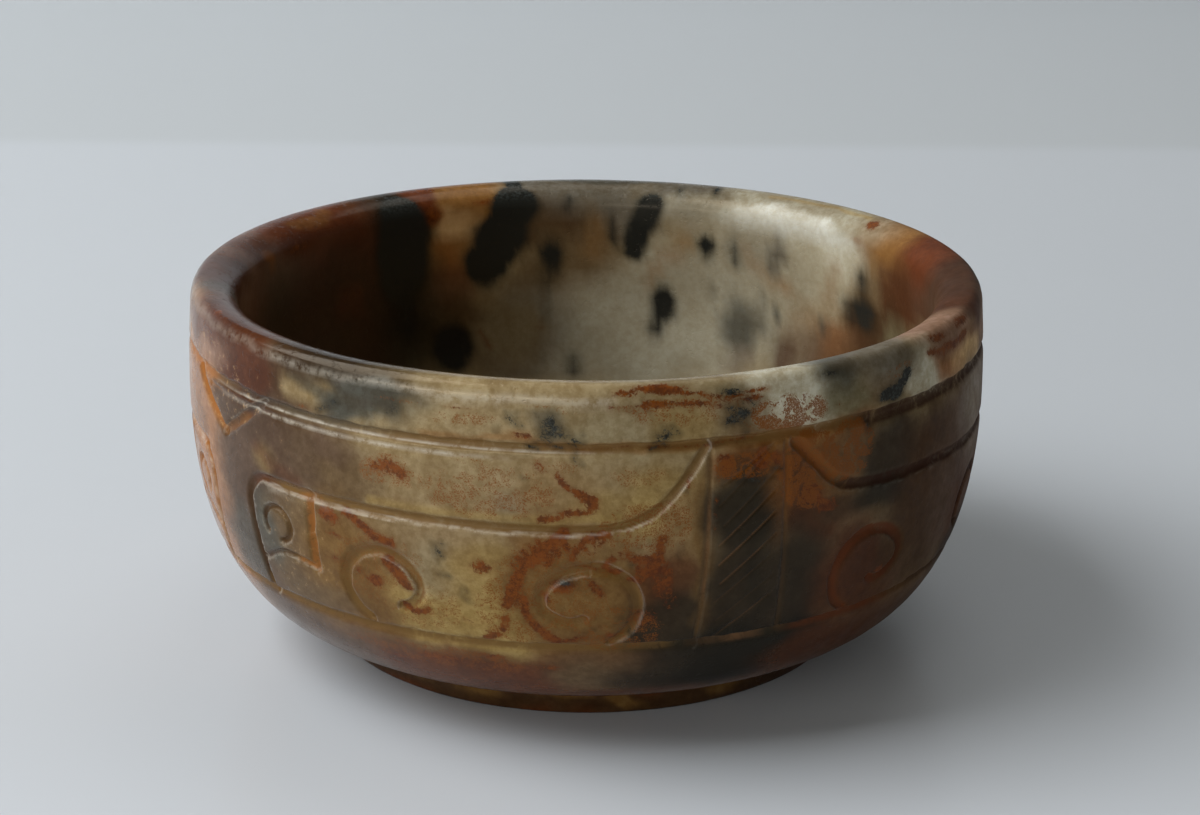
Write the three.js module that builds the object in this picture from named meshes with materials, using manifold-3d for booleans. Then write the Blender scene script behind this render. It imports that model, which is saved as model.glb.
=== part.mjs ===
// A small carved jade cup on a low foot ring. The whole cup is one piece of stone: the
// foot, the lip and the carving are worked out of the same block.
// Millimetres and degrees, +Z up. The origin is the middle of the foot's resting face.
// Azimuth 0 faces -Y, where the cup is looked at from, and a positive azimuth turns to +X.

import * as THREE from "three";
import Module from "manifold-3d";
import { mergeVertices } from "three/addons/utils/BufferGeometryUtils.js";

// Foot ring
const footRadius = 26.8;
const footFlare = 0.5;
const footHeight = 3.2;
const footRingWidth = 4.6;
const footEdgeBevel = 0.4;
const recessDepth = 2.0;

// Outside of the bowl. The three shares shape the curve of the underside.
const cupHeight = 36.9;
const bellyRadius = 40.05;
const bellyBelowRim = 11.4;
const undersideFullness = 0.71;
const undersideLift = 0.25;
const undersideTurn = 0.45;
const rimRadius = 39.6;

// Lip
const lipWidth = 4.65;
const lipRoundHeight = 2.0;
const lipRoundWidth = 1.2;
const lipInnerHeight = 2.6;

// Inside of the bowl
const wallThickness = 4.6;
const floorThickness = 5.2;
const innerTurnHeight = 6.0;
const flatFloorRadius = 12.0;
const floorReach = 18.0;

// Two grooves that run all the way round
const rimGrooveBelowRim = 5.7;
const rimGrooveWidth = 1.5;
const lowerGrooveHeight = 11.7;
const lowerGrooveWidth = 1.2;
const ringGrooveDepth = 0.45;

// Carved lines of the mask pattern
const lineWidth = 1.2;
const lineDepth = 0.42;
const fineLineWidth = 0.8;
const fineLineDepth = 0.32;

// Nose panel in the middle of each mask, half of it in degrees
const noseHalfWidth = 5.75;
const noseSplay = 0.4;

// Brow line, which sweeps down from the rim groove and runs out above the eyes
const browBelowRimGroove = 7.2;
const browSteepness = 3.0;

// Volutes, which stand on the lower groove and stay clear of the brow
const voluteStandGap = 0.5;
const voluteBrowGap = 3.4;
const voluteDraw = 0.73;
const voluteDrawStart = 5;

// Square scroll frame at the end of each half mask
const frameWidth = 12.8;
const frameFromBoundary = 5.8;
const frameCornerWidth = 4.5;
const frameCornerHeight = 3.0;
const frameLean = 1.2;
const shelfHeight = 5.0;
const shelfRise = 0.4;
const shelfFall = 1.3;
const curlHalfWidth = 2.7;
const curlHalfHeight = 1.6;
const curlAboveShelf = 3.0;
const curlOffset = 0.5;

// Pointed notch under the rim groove between two masks
const notchHalfWidth = 10.0;
const notchDrop = 4.7;
const notchSag = 0.25;

// Layout round the cup, in degrees
const frontNose = 21.2;
const backNose = 201.2;
const leftBoundary = -57.0;
const rightBoundary = 102.0;

// Fineness of the faceted model
const roundSegments = 60;
const undersidePoints = 10;
const upperWallPoints = 3;
const lipOuterPoints = 4;
const lipInnerPoints = 4;
const innerPoints = 8;
const sweepPoints = 5;
const straightStep = 4.0;
const curvedStep = 2.1;
const fineStep = 1.5;
const cutterRise = 0.35;
const sliverTolerance = 0.003;

const rimGrooveHeight = cupHeight - rimGrooveBelowRim;
const browHeight = rimGrooveHeight - browBelowRimGroove;
const bellyHeight = cupHeight - bellyBelowRim;
const lipOuterHeight = cupHeight - lipRoundHeight;
const lipEdgeRadius = rimRadius - lipWidth;
const footTopRadius = footRadius + footFlare;
const recessRadius = footRadius - footRingWidth;
const innerFloorHeight = recessDepth + floorThickness;
const voluteBottom = lowerGrooveHeight + voluteStandGap;
const voluteTop = browHeight - voluteBrowGap;
const voluteCentreHeight = (voluteBottom + voluteTop) / 2;
const voluteHalfHeight = (voluteTop - voluteBottom) / 2;
const shelfLevel = lowerGrooveHeight + shelfHeight;

// The outside of the bowl from the foot's top to the start of the lip, as radius and height.
function outerWall() {
  const start = new THREE.Vector2(footTopRadius, footHeight);
  const belly = new THREE.Vector2(bellyRadius, bellyHeight);
  const lipStart = new THREE.Vector2(rimRadius, lipOuterHeight);
  const underside = new THREE.CubicBezierCurve(
    start,
    new THREE.Vector2(
      footTopRadius + undersideFullness * (bellyRadius - footTopRadius),
      footHeight + undersideLift,
    ),
    new THREE.Vector2(bellyRadius, footHeight + undersideTurn * (bellyHeight - footHeight)),
    belly,
  );
  const upper = new THREE.QuadraticBezierCurve(
    belly,
    new THREE.Vector2(bellyRadius, (bellyHeight + lipOuterHeight) / 2),
    lipStart,
  );
  return [...underside.getPoints(undersidePoints), ...upper.getPoints(upperWallPoints).slice(1)];
}

const wallLine = outerWall();

// Radius of the outside at a height, on the straight stretches between the wall's points.
function outerRadius(height) {
  const above = wallLine.findIndex((point) => point.y >= height);
  const i = above < 0 ? wallLine.length - 1 : Math.max(above, 1);
  const low = wallLine[i - 1];
  const high = wallLine[i];
  return low.x + ((high.x - low.x) * (height - low.y)) / (high.y - low.y);
}

// Puts a groove of V section into a wall line, in place of the points that it covers.
function withRingGroove(line, height, width) {
  const low = height - width / 2;
  const high = height + width / 2;
  const below = line.filter((point) => point.y < low);
  const above = line.filter((point) => point.y > high);
  const groove = [
    new THREE.Vector2(outerRadius(low), low),
    new THREE.Vector2(outerRadius(height) - ringGrooveDepth, height),
    new THREE.Vector2(outerRadius(high), high),
  ];
  return [...below, ...groove, ...above];
}

// The lip: a rounded outer edge and a broad, round fall to the inside.
function lipLine() {
  const crown = new THREE.Vector2(rimRadius - lipRoundWidth, cupHeight);
  const outer = new THREE.EllipseCurve(
    crown.x,
    lipOuterHeight,
    lipRoundWidth,
    lipRoundHeight,
    0,
    Math.PI / 2,
  );
  const inner = new THREE.EllipseCurve(
    crown.x,
    cupHeight - lipInnerHeight,
    crown.x - lipEdgeRadius,
    lipInnerHeight,
    Math.PI / 2,
    Math.PI,
  );
  return [...outer.getPoints(lipOuterPoints).slice(1), ...inner.getPoints(lipInnerPoints).slice(1)];
}

// The inside from the belly's height down to the middle of the floor.
function innerLine() {
  const innerRadius = bellyRadius - wallThickness;
  const bowl = new THREE.CubicBezierCurve(
    new THREE.Vector2(innerRadius, bellyHeight),
    new THREE.Vector2(innerRadius, innerFloorHeight + innerTurnHeight),
    new THREE.Vector2(flatFloorRadius + floorReach, innerFloorHeight),
    new THREE.Vector2(flatFloorRadius, innerFloorHeight),
  );
  return [...bowl.getPoints(innerPoints), new THREE.Vector2(0, innerFloorHeight)];
}

// The foot from the middle of the recess under the cup to the crease where the bowl starts.
function footLine() {
  return [
    new THREE.Vector2(0, recessDepth),
    new THREE.Vector2(recessRadius, recessDepth),
    new THREE.Vector2(recessRadius, 0),
    new THREE.Vector2(footRadius - footEdgeBevel, 0),
    new THREE.Vector2(footRadius, footEdgeBevel),
  ];
}

// The turned blank, with both ring grooves, as a closed lathe body standing on +Z.
function turnedBlank() {
  const lower = withRingGroove(wallLine, lowerGrooveHeight, lowerGrooveWidth);
  const wall = withRingGroove(lower, rimGrooveHeight, rimGrooveWidth);
  const section = [...footLine(), ...wall, ...lipLine(), ...innerLine()];
  const geometry = new THREE.LatheGeometry(section, roundSegments);
  geometry.rotateX(Math.PI / 2);
  return geometry;
}

// A point on the outside of the cup, moved out along the wall's own normal.
function wallPoint(azimuth, height, out) {
  const step = 0.2;
  const slope = new THREE.Vector2(outerRadius(height + step) - outerRadius(height - step), 2 * step);
  slope.normalize();
  const radius = outerRadius(height) + slope.y * out;
  const angle = THREE.MathUtils.degToRad(azimuth);
  return new THREE.Vector3(radius * Math.sin(angle), -radius * Math.cos(angle), height - slope.x * out);
}

// Spaces a line of azimuth and height pairs evenly along the wall.
function evenLine(pairs, step) {
  const millimetresPerDegree = (Math.PI * bellyRadius) / 180;
  const points = pairs.map(([azimuth, height]) => new THREE.Vector3(azimuth * millimetresPerDegree, height, 0));
  const curve = new THREE.CatmullRomCurve3(points, false, "centripetal");
  const steps = Math.max(2, Math.round(curve.getLength() / step));
  return curve.getSpacedPoints(steps).map((point) => [point.x / millimetresPerDegree, point.y]);
}

// A closed cutter of V section that follows a line on the wall.
function grooveCutter(pairs, width, depth, step) {
  const line = evenLine(pairs, step);
  const vertices = [];
  const faces = [];
  const halfTop = (width / 2) * (1 + cutterRise / depth);
  line.forEach(([azimuth, height], i) => {
    const before = line[Math.max(i - 1, 0)];
    const after = line[Math.min(i + 1, line.length - 1)];
    const along = wallPoint(after[0], after[1], 0).sub(wallPoint(before[0], before[1], 0)).normalize();
    const top = wallPoint(azimuth, height, cutterRise);
    const normal = top.clone().sub(wallPoint(azimuth, height, 0)).normalize();
    const side = new THREE.Vector3().crossVectors(along, normal).normalize();
    const left = top.clone().addScaledVector(side, -halfTop);
    const right = top.clone().addScaledVector(side, halfTop);
    const bottom = wallPoint(azimuth, height, -depth);
    for (const corner of [left, right, bottom]) {
      vertices.push(corner.x, corner.y, corner.z);
    }
    if (i === 0) {
      return;
    }
    const first = 3 * (i - 1);
    for (let corner = 0; corner < 3; corner += 1) {
      const next = (corner + 1) % 3;
      faces.push(first + corner, first + 3 + next, first + 3 + corner);
      faces.push(first + corner, first + next, first + 3 + next);
    }
  });
  const last = 3 * (line.length - 1);
  faces.push(0, 2, 1);
  faces.push(last, last + 1, last + 2);
  const geometry = new THREE.BufferGeometry();
  geometry.setAttribute("position", new THREE.Float32BufferAttribute(vertices, 3));
  geometry.setIndex(faces);
  return geometry;
}

// One half of a mask, from its nose out to the boundary with the next mask. side is 1
// towards a growing azimuth and -1 the other way. The brow sweeps over so many degrees, and
// browRise lifts its inner end.
class HalfMask {
  constructor({ nose, side, boundary, sweepStart, sweep, browRise, volutes }) {
    this.nose = nose;
    this.side = side;
    this.sweepStart = sweepStart;
    this.sweep = sweep;
    this.browRise = browRise;
    this.volutes = volutes;
    this.frameOuter = side * (boundary - nose) - frameFromBoundary;
    this.frameInner = this.frameOuter - frameWidth;
  }

  // Turns offsets from the nose into azimuths.
  place(pairs) {
    return pairs.map(([offset, height]) => [this.nose + this.side * offset, height]);
  }

  noseEdge() {
    return this.place([
      [noseHalfWidth - noseSplay, rimGrooveHeight],
      [noseHalfWidth, voluteCentreHeight],
      [noseHalfWidth + noseSplay, lowerGrooveHeight],
    ]);
  }

  // The brow leaves the rim groove beside the nose, sweeps out level and turns down into
  // the outer upright of the frame.
  brow() {
    const pairs = [];
    const inner = browHeight + this.browRise;
    for (let i = 0; i < sweepPoints; i += 1) {
      const share = i / sweepPoints;
      const rise = (rimGrooveHeight - inner) * (1 - share) ** browSteepness;
      pairs.push([this.sweepStart + this.sweep * share, inner + rise]);
    }
    const cornerStart = this.frameOuter - frameCornerWidth;
    const sweepEnd = this.sweepStart + this.sweep;
    pairs.push([(sweepEnd + cornerStart) / 2, (inner + browHeight) / 2]);
    for (let turn = 0; turn <= 90; turn += 30) {
      const angle = THREE.MathUtils.degToRad(turn);
      pairs.push([
        cornerStart + frameCornerWidth * Math.sin(angle),
        browHeight - frameCornerHeight * (1 - Math.cos(angle)),
      ]);
    }
    pairs.push([this.frameOuter - frameLean / 3, voluteCentreHeight]);
    pairs.push([this.frameOuter - frameLean, lowerGrooveHeight]);
    return this.place(pairs);
  }

  frameInnerEdge() {
    return this.place([
      [this.frameInner, browHeight],
      [this.frameInner, (browHeight + shelfLevel) / 2],
      [this.frameInner, shelfLevel],
    ]);
  }

  frameShelf() {
    return this.place([
      [this.frameInner, shelfLevel],
      [this.frameInner + frameWidth / 2, shelfLevel + shelfRise],
      [this.frameOuter - frameLean, shelfLevel - shelfFall],
    ]);
  }

  // The small curl inside the frame, an oval that stays open at its lower outer side.
  frameCurl() {
    const centre = (this.frameInner + this.frameOuter) / 2 + curlOffset;
    const pairs = [];
    for (let turn = 215; turn >= -80; turn -= 29.5) {
      const angle = THREE.MathUtils.degToRad(180 - turn);
      pairs.push([
        centre + curlHalfWidth * Math.cos(angle),
        shelfLevel + curlAboveShelf + curlHalfHeight * Math.sin(angle),
      ]);
    }
    return this.place(pairs);
  }

  // A volute rises from the lower groove, goes round and hooks in. outward says whether it
  // starts at the side away from the nose, and end is the turn where its hook stops.
  volute({ centre, halfWidth, outward, end }) {
    const direction = outward ? 1 : -1;
    const pairs = [];
    for (let turn = 240; turn >= end; turn -= 20) {
      const angle = THREE.MathUtils.degToRad(180 - turn);
      const hook = Math.max(voluteDrawStart - turn, 0) / (voluteDrawStart + 90);
      const drawn = 1 - voluteDraw * hook ** 0.8;
      pairs.push([
        centre + direction * halfWidth * drawn * Math.cos(angle),
        voluteCentreHeight + voluteHalfHeight * drawn * Math.sin(angle),
      ]);
    }
    return this.place(pairs);
  }

  cutters() {
    const cuts = [
      grooveCutter(this.noseEdge(), lineWidth, lineDepth, straightStep),
      grooveCutter(this.brow(), lineWidth, lineDepth, curvedStep),
      grooveCutter(this.frameInnerEdge(), lineWidth, lineDepth, straightStep),
      grooveCutter(this.frameShelf(), fineLineWidth, fineLineDepth, straightStep),
      grooveCutter(this.frameCurl(), fineLineWidth, fineLineDepth, fineStep),
    ];
    for (const volute of this.volutes) {
      cuts.push(grooveCutter(this.volute(volute), lineWidth, lineDepth, curvedStep));
    }
    return cuts;
  }
}

// The two slanting cuts that meet in a point under the rim groove.
function notchCutters(boundary) {
  return [-1, 1].map((side) => {
    const pairs = [
      [boundary, rimGrooveHeight - notchDrop],
      [boundary + (side * notchHalfWidth) / 2, rimGrooveHeight - notchDrop / 2 - notchSag],
      [boundary + side * notchHalfWidth, rimGrooveHeight],
    ];
    return grooveCutter(pairs, lineWidth, lineDepth, straightStep);
  });
}

const wasm = await Module();
wasm.setup();

// Makes a closed geometry into a solid, with its doubled vertices merged.
function toSolid(geometry) {
  const plain = geometry.clone();
  plain.deleteAttribute("normal");
  plain.deleteAttribute("uv");
  const merged = mergeVertices(plain, 1e-5);
  const faces = [];
  const index = merged.index.array;
  for (let i = 0; i < index.length; i += 3) {
    const [a, b, c] = [index[i], index[i + 1], index[i + 2]];
    if (a !== b && b !== c && c !== a) {
      faces.push(a, b, c);
    }
  }
  const mesh = new wasm.Mesh({
    numProp: 3,
    vertProperties: new Float32Array(merged.attributes.position.array),
    triVerts: new Uint32Array(faces),
  });
  return new wasm.Manifold(mesh);
}

function toGeometry(solid) {
  const mesh = solid.getMesh();
  const geometry = new THREE.BufferGeometry();
  geometry.setAttribute("position", new THREE.BufferAttribute(new Float32Array(mesh.vertProperties), 3));
  geometry.setIndex(new THREE.BufferAttribute(new Uint32Array(mesh.triVerts), 1));
  geometry.computeVertexNormals();
  return geometry;
}

// The eye is the volute beside the nose. The front mask has one more volute outside each
// eye, and the wider back mask has two.
const eye = { centre: 20.8, halfWidth: 6.5, outward: false, end: -85 };
const second = { centre: 48.4, halfWidth: 6.1, outward: true, end: -45 };
const third = { centre: 72.5, halfWidth: 6.1, outward: true, end: -45 };

const halfMasks = [
  new HalfMask({
    nose: frontNose,
    side: -1,
    boundary: leftBoundary,
    sweepStart: 6.0,
    sweep: 17.0,
    browRise: 0,
    volutes: [eye, second],
  }),
  new HalfMask({
    nose: frontNose,
    side: 1,
    boundary: rightBoundary,
    sweepStart: 6.8,
    sweep: 15.0,
    browRise: 1.1,
    volutes: [eye, { ...second, centre: 50.8 }],
  }),
  new HalfMask({
    nose: backNose,
    side: -1,
    boundary: rightBoundary,
    sweepStart: 6.0,
    sweep: 17.0,
    browRise: 0,
    volutes: [eye, second, third],
  }),
  new HalfMask({
    nose: backNose,
    side: 1,
    boundary: leftBoundary + 360,
    sweepStart: 6.0,
    sweep: 17.0,
    browRise: 0,
    volutes: [eye, second, third],
  }),
];

const cuts = halfMasks.flatMap((half) => half.cutters());
cuts.push(...notchCutters(leftBoundary), ...notchCutters(rightBoundary));
let cup = toSolid(turnedBlank());
for (const cut of cuts) {
  cup = cup.subtract(toSolid(cut));
}

const stone = new THREE.MeshStandardMaterial({
  color: new THREE.Color(0.42, 0.33, 0.22),
  roughness: 0.35,
  metalness: 0,
});
const jadeCup = new THREE.Mesh(toGeometry(cup.simplify(sliverTolerance)), stone);
jadeCup.name = "jade_cup";

const part = new THREE.Group();
part.add(jadeCup);

export default part;
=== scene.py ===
"""A small carved jade cup on a low foot ring, standing on a pale table in soft studio light.

The cup is one piece of stone. Its outline is turned, its masks are carved into the wall and
its markings are laid on as a map of washes, blots and veins, which the stone's material
breaks up into grain. Lengths are in millimetres until a mesh is made, and azimuth 0 faces
the camera, with a positive azimuth turning to the right.
"""

import logging
import math
from dataclasses import dataclass
from enum import Enum
from typing import Sequence, Union

import bpy
import numpy as np
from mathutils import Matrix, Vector, noise


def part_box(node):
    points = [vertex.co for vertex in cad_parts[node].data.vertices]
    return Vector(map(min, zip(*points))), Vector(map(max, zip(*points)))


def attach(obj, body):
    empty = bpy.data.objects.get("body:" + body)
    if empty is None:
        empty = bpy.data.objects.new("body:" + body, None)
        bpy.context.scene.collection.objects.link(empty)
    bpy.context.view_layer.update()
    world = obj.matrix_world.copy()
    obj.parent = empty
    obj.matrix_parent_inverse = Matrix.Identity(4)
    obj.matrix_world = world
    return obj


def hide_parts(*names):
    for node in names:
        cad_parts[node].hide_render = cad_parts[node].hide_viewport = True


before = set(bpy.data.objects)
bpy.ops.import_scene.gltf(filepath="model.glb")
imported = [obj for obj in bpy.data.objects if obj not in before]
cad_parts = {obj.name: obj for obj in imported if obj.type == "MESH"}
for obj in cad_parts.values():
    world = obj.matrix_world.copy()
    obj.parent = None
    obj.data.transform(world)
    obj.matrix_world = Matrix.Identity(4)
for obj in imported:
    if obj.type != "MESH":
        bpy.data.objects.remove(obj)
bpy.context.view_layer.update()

MM = 0.001
NODE = "jade_cup"
BODY = "root"
PATH_STEP = 0.6
POINTS_PER_STRETCH = 8
FAR = 99.0
TURNS = (np.array([0.0, 0.0]), np.array([360.0, 0.0]))

log = logging.getLogger("jade_cup")

Pair = tuple[float, float]
Line = Sequence[Pair]
Colour = tuple[int, int, int]
Shares = tuple[float, float, float]
Socket = bpy.types.NodeSocket
Value = Union[Socket, float, Sequence[float]]
Piece = bpy.types.Object


def linear(colour: Sequence[float]) -> tuple[float, float, float, float]:
    """Turns a display colour of 0 to 255 into the linear RGBA that a shader takes.

    Args:
        colour: Red, green and blue from 0 to 255.

    Returns:
        Linear red, green and blue from 0 to 1, and an alpha of 1.
    """
    shares = [value / 255 for value in colour]
    curve = [share / 12.92 if share <= 0.04045 else ((share + 0.055) / 1.055) ** 2.4 for share in shares]
    return curve[0], curve[1], curve[2], 1.0


def smooth_step(low: float, high: float, value: np.ndarray) -> np.ndarray:
    """Rises smoothly from 0 at low to 1 at high.

    Args:
        low: Where the rise starts.
        high: Where the rise ends.
        value: The values to judge.

    Returns:
        A share from 0 to 1 for each value.
    """
    share = np.clip((value - low) / (high - low), 0.0, 1.0)
    return share * share * (3 - 2 * share)


def bezier(corners: Line, count: int) -> np.ndarray:
    """Points along a Bezier curve of three or four corners.

    Args:
        corners: The curve's control points.
        count: How many points to give, both ends included.

    Returns:
        An array of count rows of two numbers.
    """
    points = np.repeat(np.array(corners, float)[None], count, 0)
    share = np.linspace(0, 1, count)[:, None, None]
    while points.shape[1] > 1:
        points = points[:, :-1] * (1 - share) + points[:, 1:] * share
    return points[:, 0]


def even_points(line: np.ndarray, step: float) -> np.ndarray:
    """Spaces points evenly along a line.

    Args:
        line: Rows of two numbers.
        step: The wanted distance between points.

    Returns:
        The new rows, which keep both ends.
    """
    lengths = np.hypot(*np.diff(line, axis=0).T)
    along = np.concatenate([[0.0], np.cumsum(lengths)])
    count = max(2, round(along[-1] / step) + 1)
    stations = np.linspace(0, along[-1], count)
    return np.stack([np.interp(stations, along, column) for column in line.T], 1)


def smooth_line(points: Line, step: float) -> np.ndarray:
    """Runs a smooth curve through a few points and spaces it evenly.

    Args:
        points: The points that the curve passes.
        step: The wanted distance between the new points.

    Returns:
        Rows of two numbers.
    """
    given = np.array(points, float)
    if len(given) < 3:
        return even_points(given, step)
    before = 2 * given[:1] - given[1:2]
    after = 2 * given[-1:] - given[-2:-1]
    padded = np.concatenate([before, given, after])
    share = np.linspace(0, 1, POINTS_PER_STRETCH + 1)[:-1, None]
    cube, square = share**3, share**2
    parts = []
    for earlier, start, end, later in zip(padded, padded[1:], padded[2:], padded[3:]):
        parts.append(
            (2 * cube - 3 * square + 1) * start
            + (cube - 2 * square + share) * ((end - earlier) / 2)
            + (3 * square - 2 * cube) * end
            + (cube - square) * ((later - start) / 2)
        )
    parts.append(given[-1:])
    return even_points(np.concatenate(parts), step)


def nearest_on_line(points: np.ndarray, line: np.ndarray) -> tuple[np.ndarray, np.ndarray, np.ndarray]:
    """Finds how far each point lies from a line of straight stretches.

    Args:
        points: Rows of two numbers.
        line: Rows of two numbers, the line's own points.

    Returns:
        The distance, the share of the way along the line, and 1 or -1 for the side.
    """
    start = line[:-1]
    stretch = line[1:] - start
    lengths = np.hypot(stretch[:, 0], stretch[:, 1])
    along = np.concatenate([[0.0], np.cumsum(lengths)])
    away = points[:, None] - start[None]
    share = np.clip((away * stretch).sum(2) / np.maximum(lengths**2, 1e-12), 0, 1)
    gap = away - share[..., None] * stretch
    distance = np.hypot(gap[..., 0], gap[..., 1])
    best = distance.argmin(1)
    rows = np.arange(len(points))
    cross = stretch[best, 0] * gap[rows, best, 1] - stretch[best, 1] * gap[rows, best, 0]
    station = along[best] + share[rows, best] * lengths[best]
    return distance[rows, best], station / along[-1], np.where(cross < 0, -1.0, 1.0)


class Face(Enum):
    """The faces of the cup that a mark can be placed on, and what a place on each one means."""

    OUTSIDE = "height on the outer wall and the foot"
    LIP = "share of the way across the lip, from outside to inside"
    INSIDE = "height on the inner wall"
    FLOOR = "radius on the inner floor"
    UNDER = "radius under the foot"


class Tint(Enum):
    """The stone's own colours in plain light. CHALK and the pale sheen tint also serve as painted highlights
    and a painted reflection, and WINE as dirt and painted shade in the grooves.
    """

    CHALK = (206, 204, 190)
    CREAM = (186, 179, 156)
    APRICOT = (208, 170, 118)
    SAND = (136, 122, 92)
    BONE = (146, 127, 92)
    PEBBLE = (152, 144, 122)
    ASH = (98, 91, 78)
    SAGE = (114, 106, 78)
    TAN = (150, 125, 73)
    HONEY = (130, 90, 45)
    AMBER = (150, 92, 38)
    OCHRE = (132, 106, 68)
    CARAMEL = (113, 83, 42)
    PEACH = (152, 106, 68)
    ROSE = (140, 108, 88)
    OLIVE = (101, 81, 55)
    BRICK = (88, 46, 20)
    SIENNA = (116, 75, 33)
    RUSSET = (95, 46, 20)
    COCOA = (75, 39, 16)
    MAUVE = (82, 62, 47)
    TAUPE = (85, 62, 46)
    PLUM = (77, 38, 16)
    CLAY = (65, 41, 20)
    UMBER = (64, 43, 24)
    CHARCOAL = (50, 38, 24)
    MOSS = (42, 32, 20)
    PITCH = (24, 20, 12)
    STEEL = (72, 65, 55)
    SLATE = (70, 69, 61)
    OXBLOOD = (78, 36, 18)
    MAROON = (66, 39, 23)
    SOOT = (34, 32, 22)
    WINE = (48, 22, 12)
    # Pale worn edges, and also painted glints, the lip's painted highlight and a painted reflection.
    BLOOM = (208, 200, 184)
    GOLD = (176, 140, 96)


@dataclass
class Section:
    """The turned outline of the cup, as radius and height in millimetres.

    The belly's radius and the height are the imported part's own.
    """

    belly_radius: float
    cup_height: float
    foot_radius: float = 26.8
    foot_flare: float = 0.5
    foot_height: float = 3.2
    foot_ring_width: float = 4.6
    foot_edge: float = 0.4
    recess_depth: float = 2.0
    recess_corner: float = 0.6
    belly_below_rim: float = 11.4
    underside_fullness: float = 0.71
    underside_lift: float = 0.25
    underside_turn: float = 0.45
    rim_radius: float = 39.6
    lip_width: float = 4.65
    lip_round_height: float = 2.0
    lip_round_width: float = 1.2
    lip_inner_height: float = 2.6
    wall_thickness: float = 4.6
    floor_thickness: float = 5.2
    inner_turn_height: float = 6.0
    flat_floor_radius: float = 12.0
    floor_reach: float = 18.0
    rim_groove_below_rim: float = 5.7
    lower_groove_height: float = 11.7
    band_bottom: float = 10.6
    coarse_step: float = 1.25
    groove_step: float = 0.5
    groove_reach: float = 1.2
    foot_side_step: float = 0.6
    recess_step: float = 3.0
    lip_step: float = 0.56
    bowl_step: float = 1.8

    @property
    def rim_groove_height(self) -> float:
        """Height of the groove under the rim."""
        return self.cup_height - self.rim_groove_below_rim

    @property
    def inner_floor_height(self) -> float:
        """Height of the floor inside."""
        return self.recess_depth + self.floor_thickness

    @property
    def lip_start_height(self) -> float:
        """Height where the outer wall turns into the lip."""
        return self.cup_height - self.lip_round_height

    def wall_curve(self) -> np.ndarray:
        """Gives the outer wall, finely spaced, from the foot's top to the start of the lip.

        Returns:
            Rows of radius and height.
        """
        foot_top = self.foot_radius + self.foot_flare
        belly = self.cup_height - self.belly_below_rim
        reach = foot_top + self.underside_fullness * (self.belly_radius - foot_top)
        turn = self.foot_height + self.underside_turn * (belly - self.foot_height)
        low = [(foot_top, self.foot_height), (reach, self.foot_height + self.underside_lift)]
        underside = bezier([*low, (self.belly_radius, turn), (self.belly_radius, belly)], 200)
        middle = (belly + self.lip_start_height) / 2
        high = (self.rim_radius, self.lip_start_height)
        upper = bezier([(self.belly_radius, belly), (self.belly_radius, middle), high], 60)
        return np.concatenate([underside, upper[1:]])

    def foot_rings(self) -> np.ndarray:
        """Gives the foot, from the middle of the recess to the crease under the bowl.

        Returns:
            Rows of radius and height.
        """
        outer, depth = self.foot_radius, self.recess_depth
        recess = outer - self.foot_ring_width
        corner, edge = self.recess_corner, self.foot_edge
        flat = np.array([(0.0, depth), (recess - corner, depth)])
        inner_corner = bezier([(recess - corner, depth), (recess, depth), (recess, depth - corner)], 4)
        inner_edge = bezier([(recess, edge), (recess, 0.0), (recess + edge, 0.0)], 4)
        outer_edge = bezier([(outer - edge, 0.0), (outer, 0.0), (outer, edge)], 4)
        top = (outer + self.foot_flare, self.foot_height)
        side = even_points(np.array([outer_edge[-1], top]), self.foot_side_step)
        middle = np.array([(outer - self.foot_ring_width / 2, 0.0)])
        recess_rings = [even_points(flat, self.recess_step)[:-1], inner_corner, inner_edge]
        return np.concatenate([*recess_rings, middle, outer_edge, side[1:]])

    def wall_rings(self) -> np.ndarray:
        """Gives the rings of the outer wall, which lie closer together at the two grooves.

        Returns:
            Rows of radius and height.
        """
        curve = self.wall_curve()
        underside = curve[curve[:, 1] <= self.band_bottom]
        heights = []
        grooves = (self.lower_groove_height, self.rim_groove_height)
        height = self.band_bottom
        while height < self.lip_start_height - self.coarse_step / 2:
            near = min(abs(height - groove) for groove in grooves) < self.groove_reach
            height += self.groove_step if near else self.coarse_step
            heights.append(height)
        heights = np.array(heights)
        band = np.stack([np.interp(heights, curve[:, 1], curve[:, 0]), heights], 1)
        return np.concatenate([even_points(underside, self.coarse_step)[1:], band])

    def lip_rings(self) -> np.ndarray:
        """Gives the lip: a round outer edge and a broad, round fall to the inside.

        Returns:
            Rows of radius and height.
        """
        crown = self.rim_radius - self.lip_round_width
        fall = self.lip_width - self.lip_round_width
        sides = (
            (self.lip_round_width, self.lip_round_height, np.linspace(0, math.pi / 2, 40)),
            (fall, self.lip_inner_height, np.linspace(math.pi / 2, math.pi, 60)[1:]),
        )
        halves = []
        for width, height, angles in sides:
            rise = self.cup_height - height + height * np.sin(angles)
            halves.append(np.stack([crown + width * np.cos(angles), rise], 1))
        return even_points(np.concatenate(halves), self.lip_step)

    def bowl_rings(self) -> np.ndarray:
        """Gives the inside, from below the lip's inner edge to the middle of the floor.

        Returns:
            Rows of radius and height.
        """
        radius = self.belly_radius - self.wall_thickness
        belly = self.cup_height - self.belly_below_rim
        edge = self.rim_radius - self.lip_width
        top = self.cup_height - self.lip_inner_height
        floor = self.inner_floor_height
        upper = bezier([(edge, top), (edge, (top + belly) / 2), (radius, belly)], 40)
        wall = [(radius, belly), (radius, floor + self.inner_turn_height)]
        turn = (self.flat_floor_radius + self.floor_reach, floor)
        lower = bezier([*wall, turn, (self.flat_floor_radius, floor)], 120)
        return even_points(np.concatenate([upper, lower[1:], [(0.0, floor)]]), self.bowl_step)[1:]

    def outline(self) -> np.ndarray:
        """Gives the whole outline, from the middle of the recess to the middle of the floor."""
        return np.concatenate([self.foot_rings(), self.wall_rings(), self.lip_rings()[1:], self.bowl_rings()])


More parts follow.
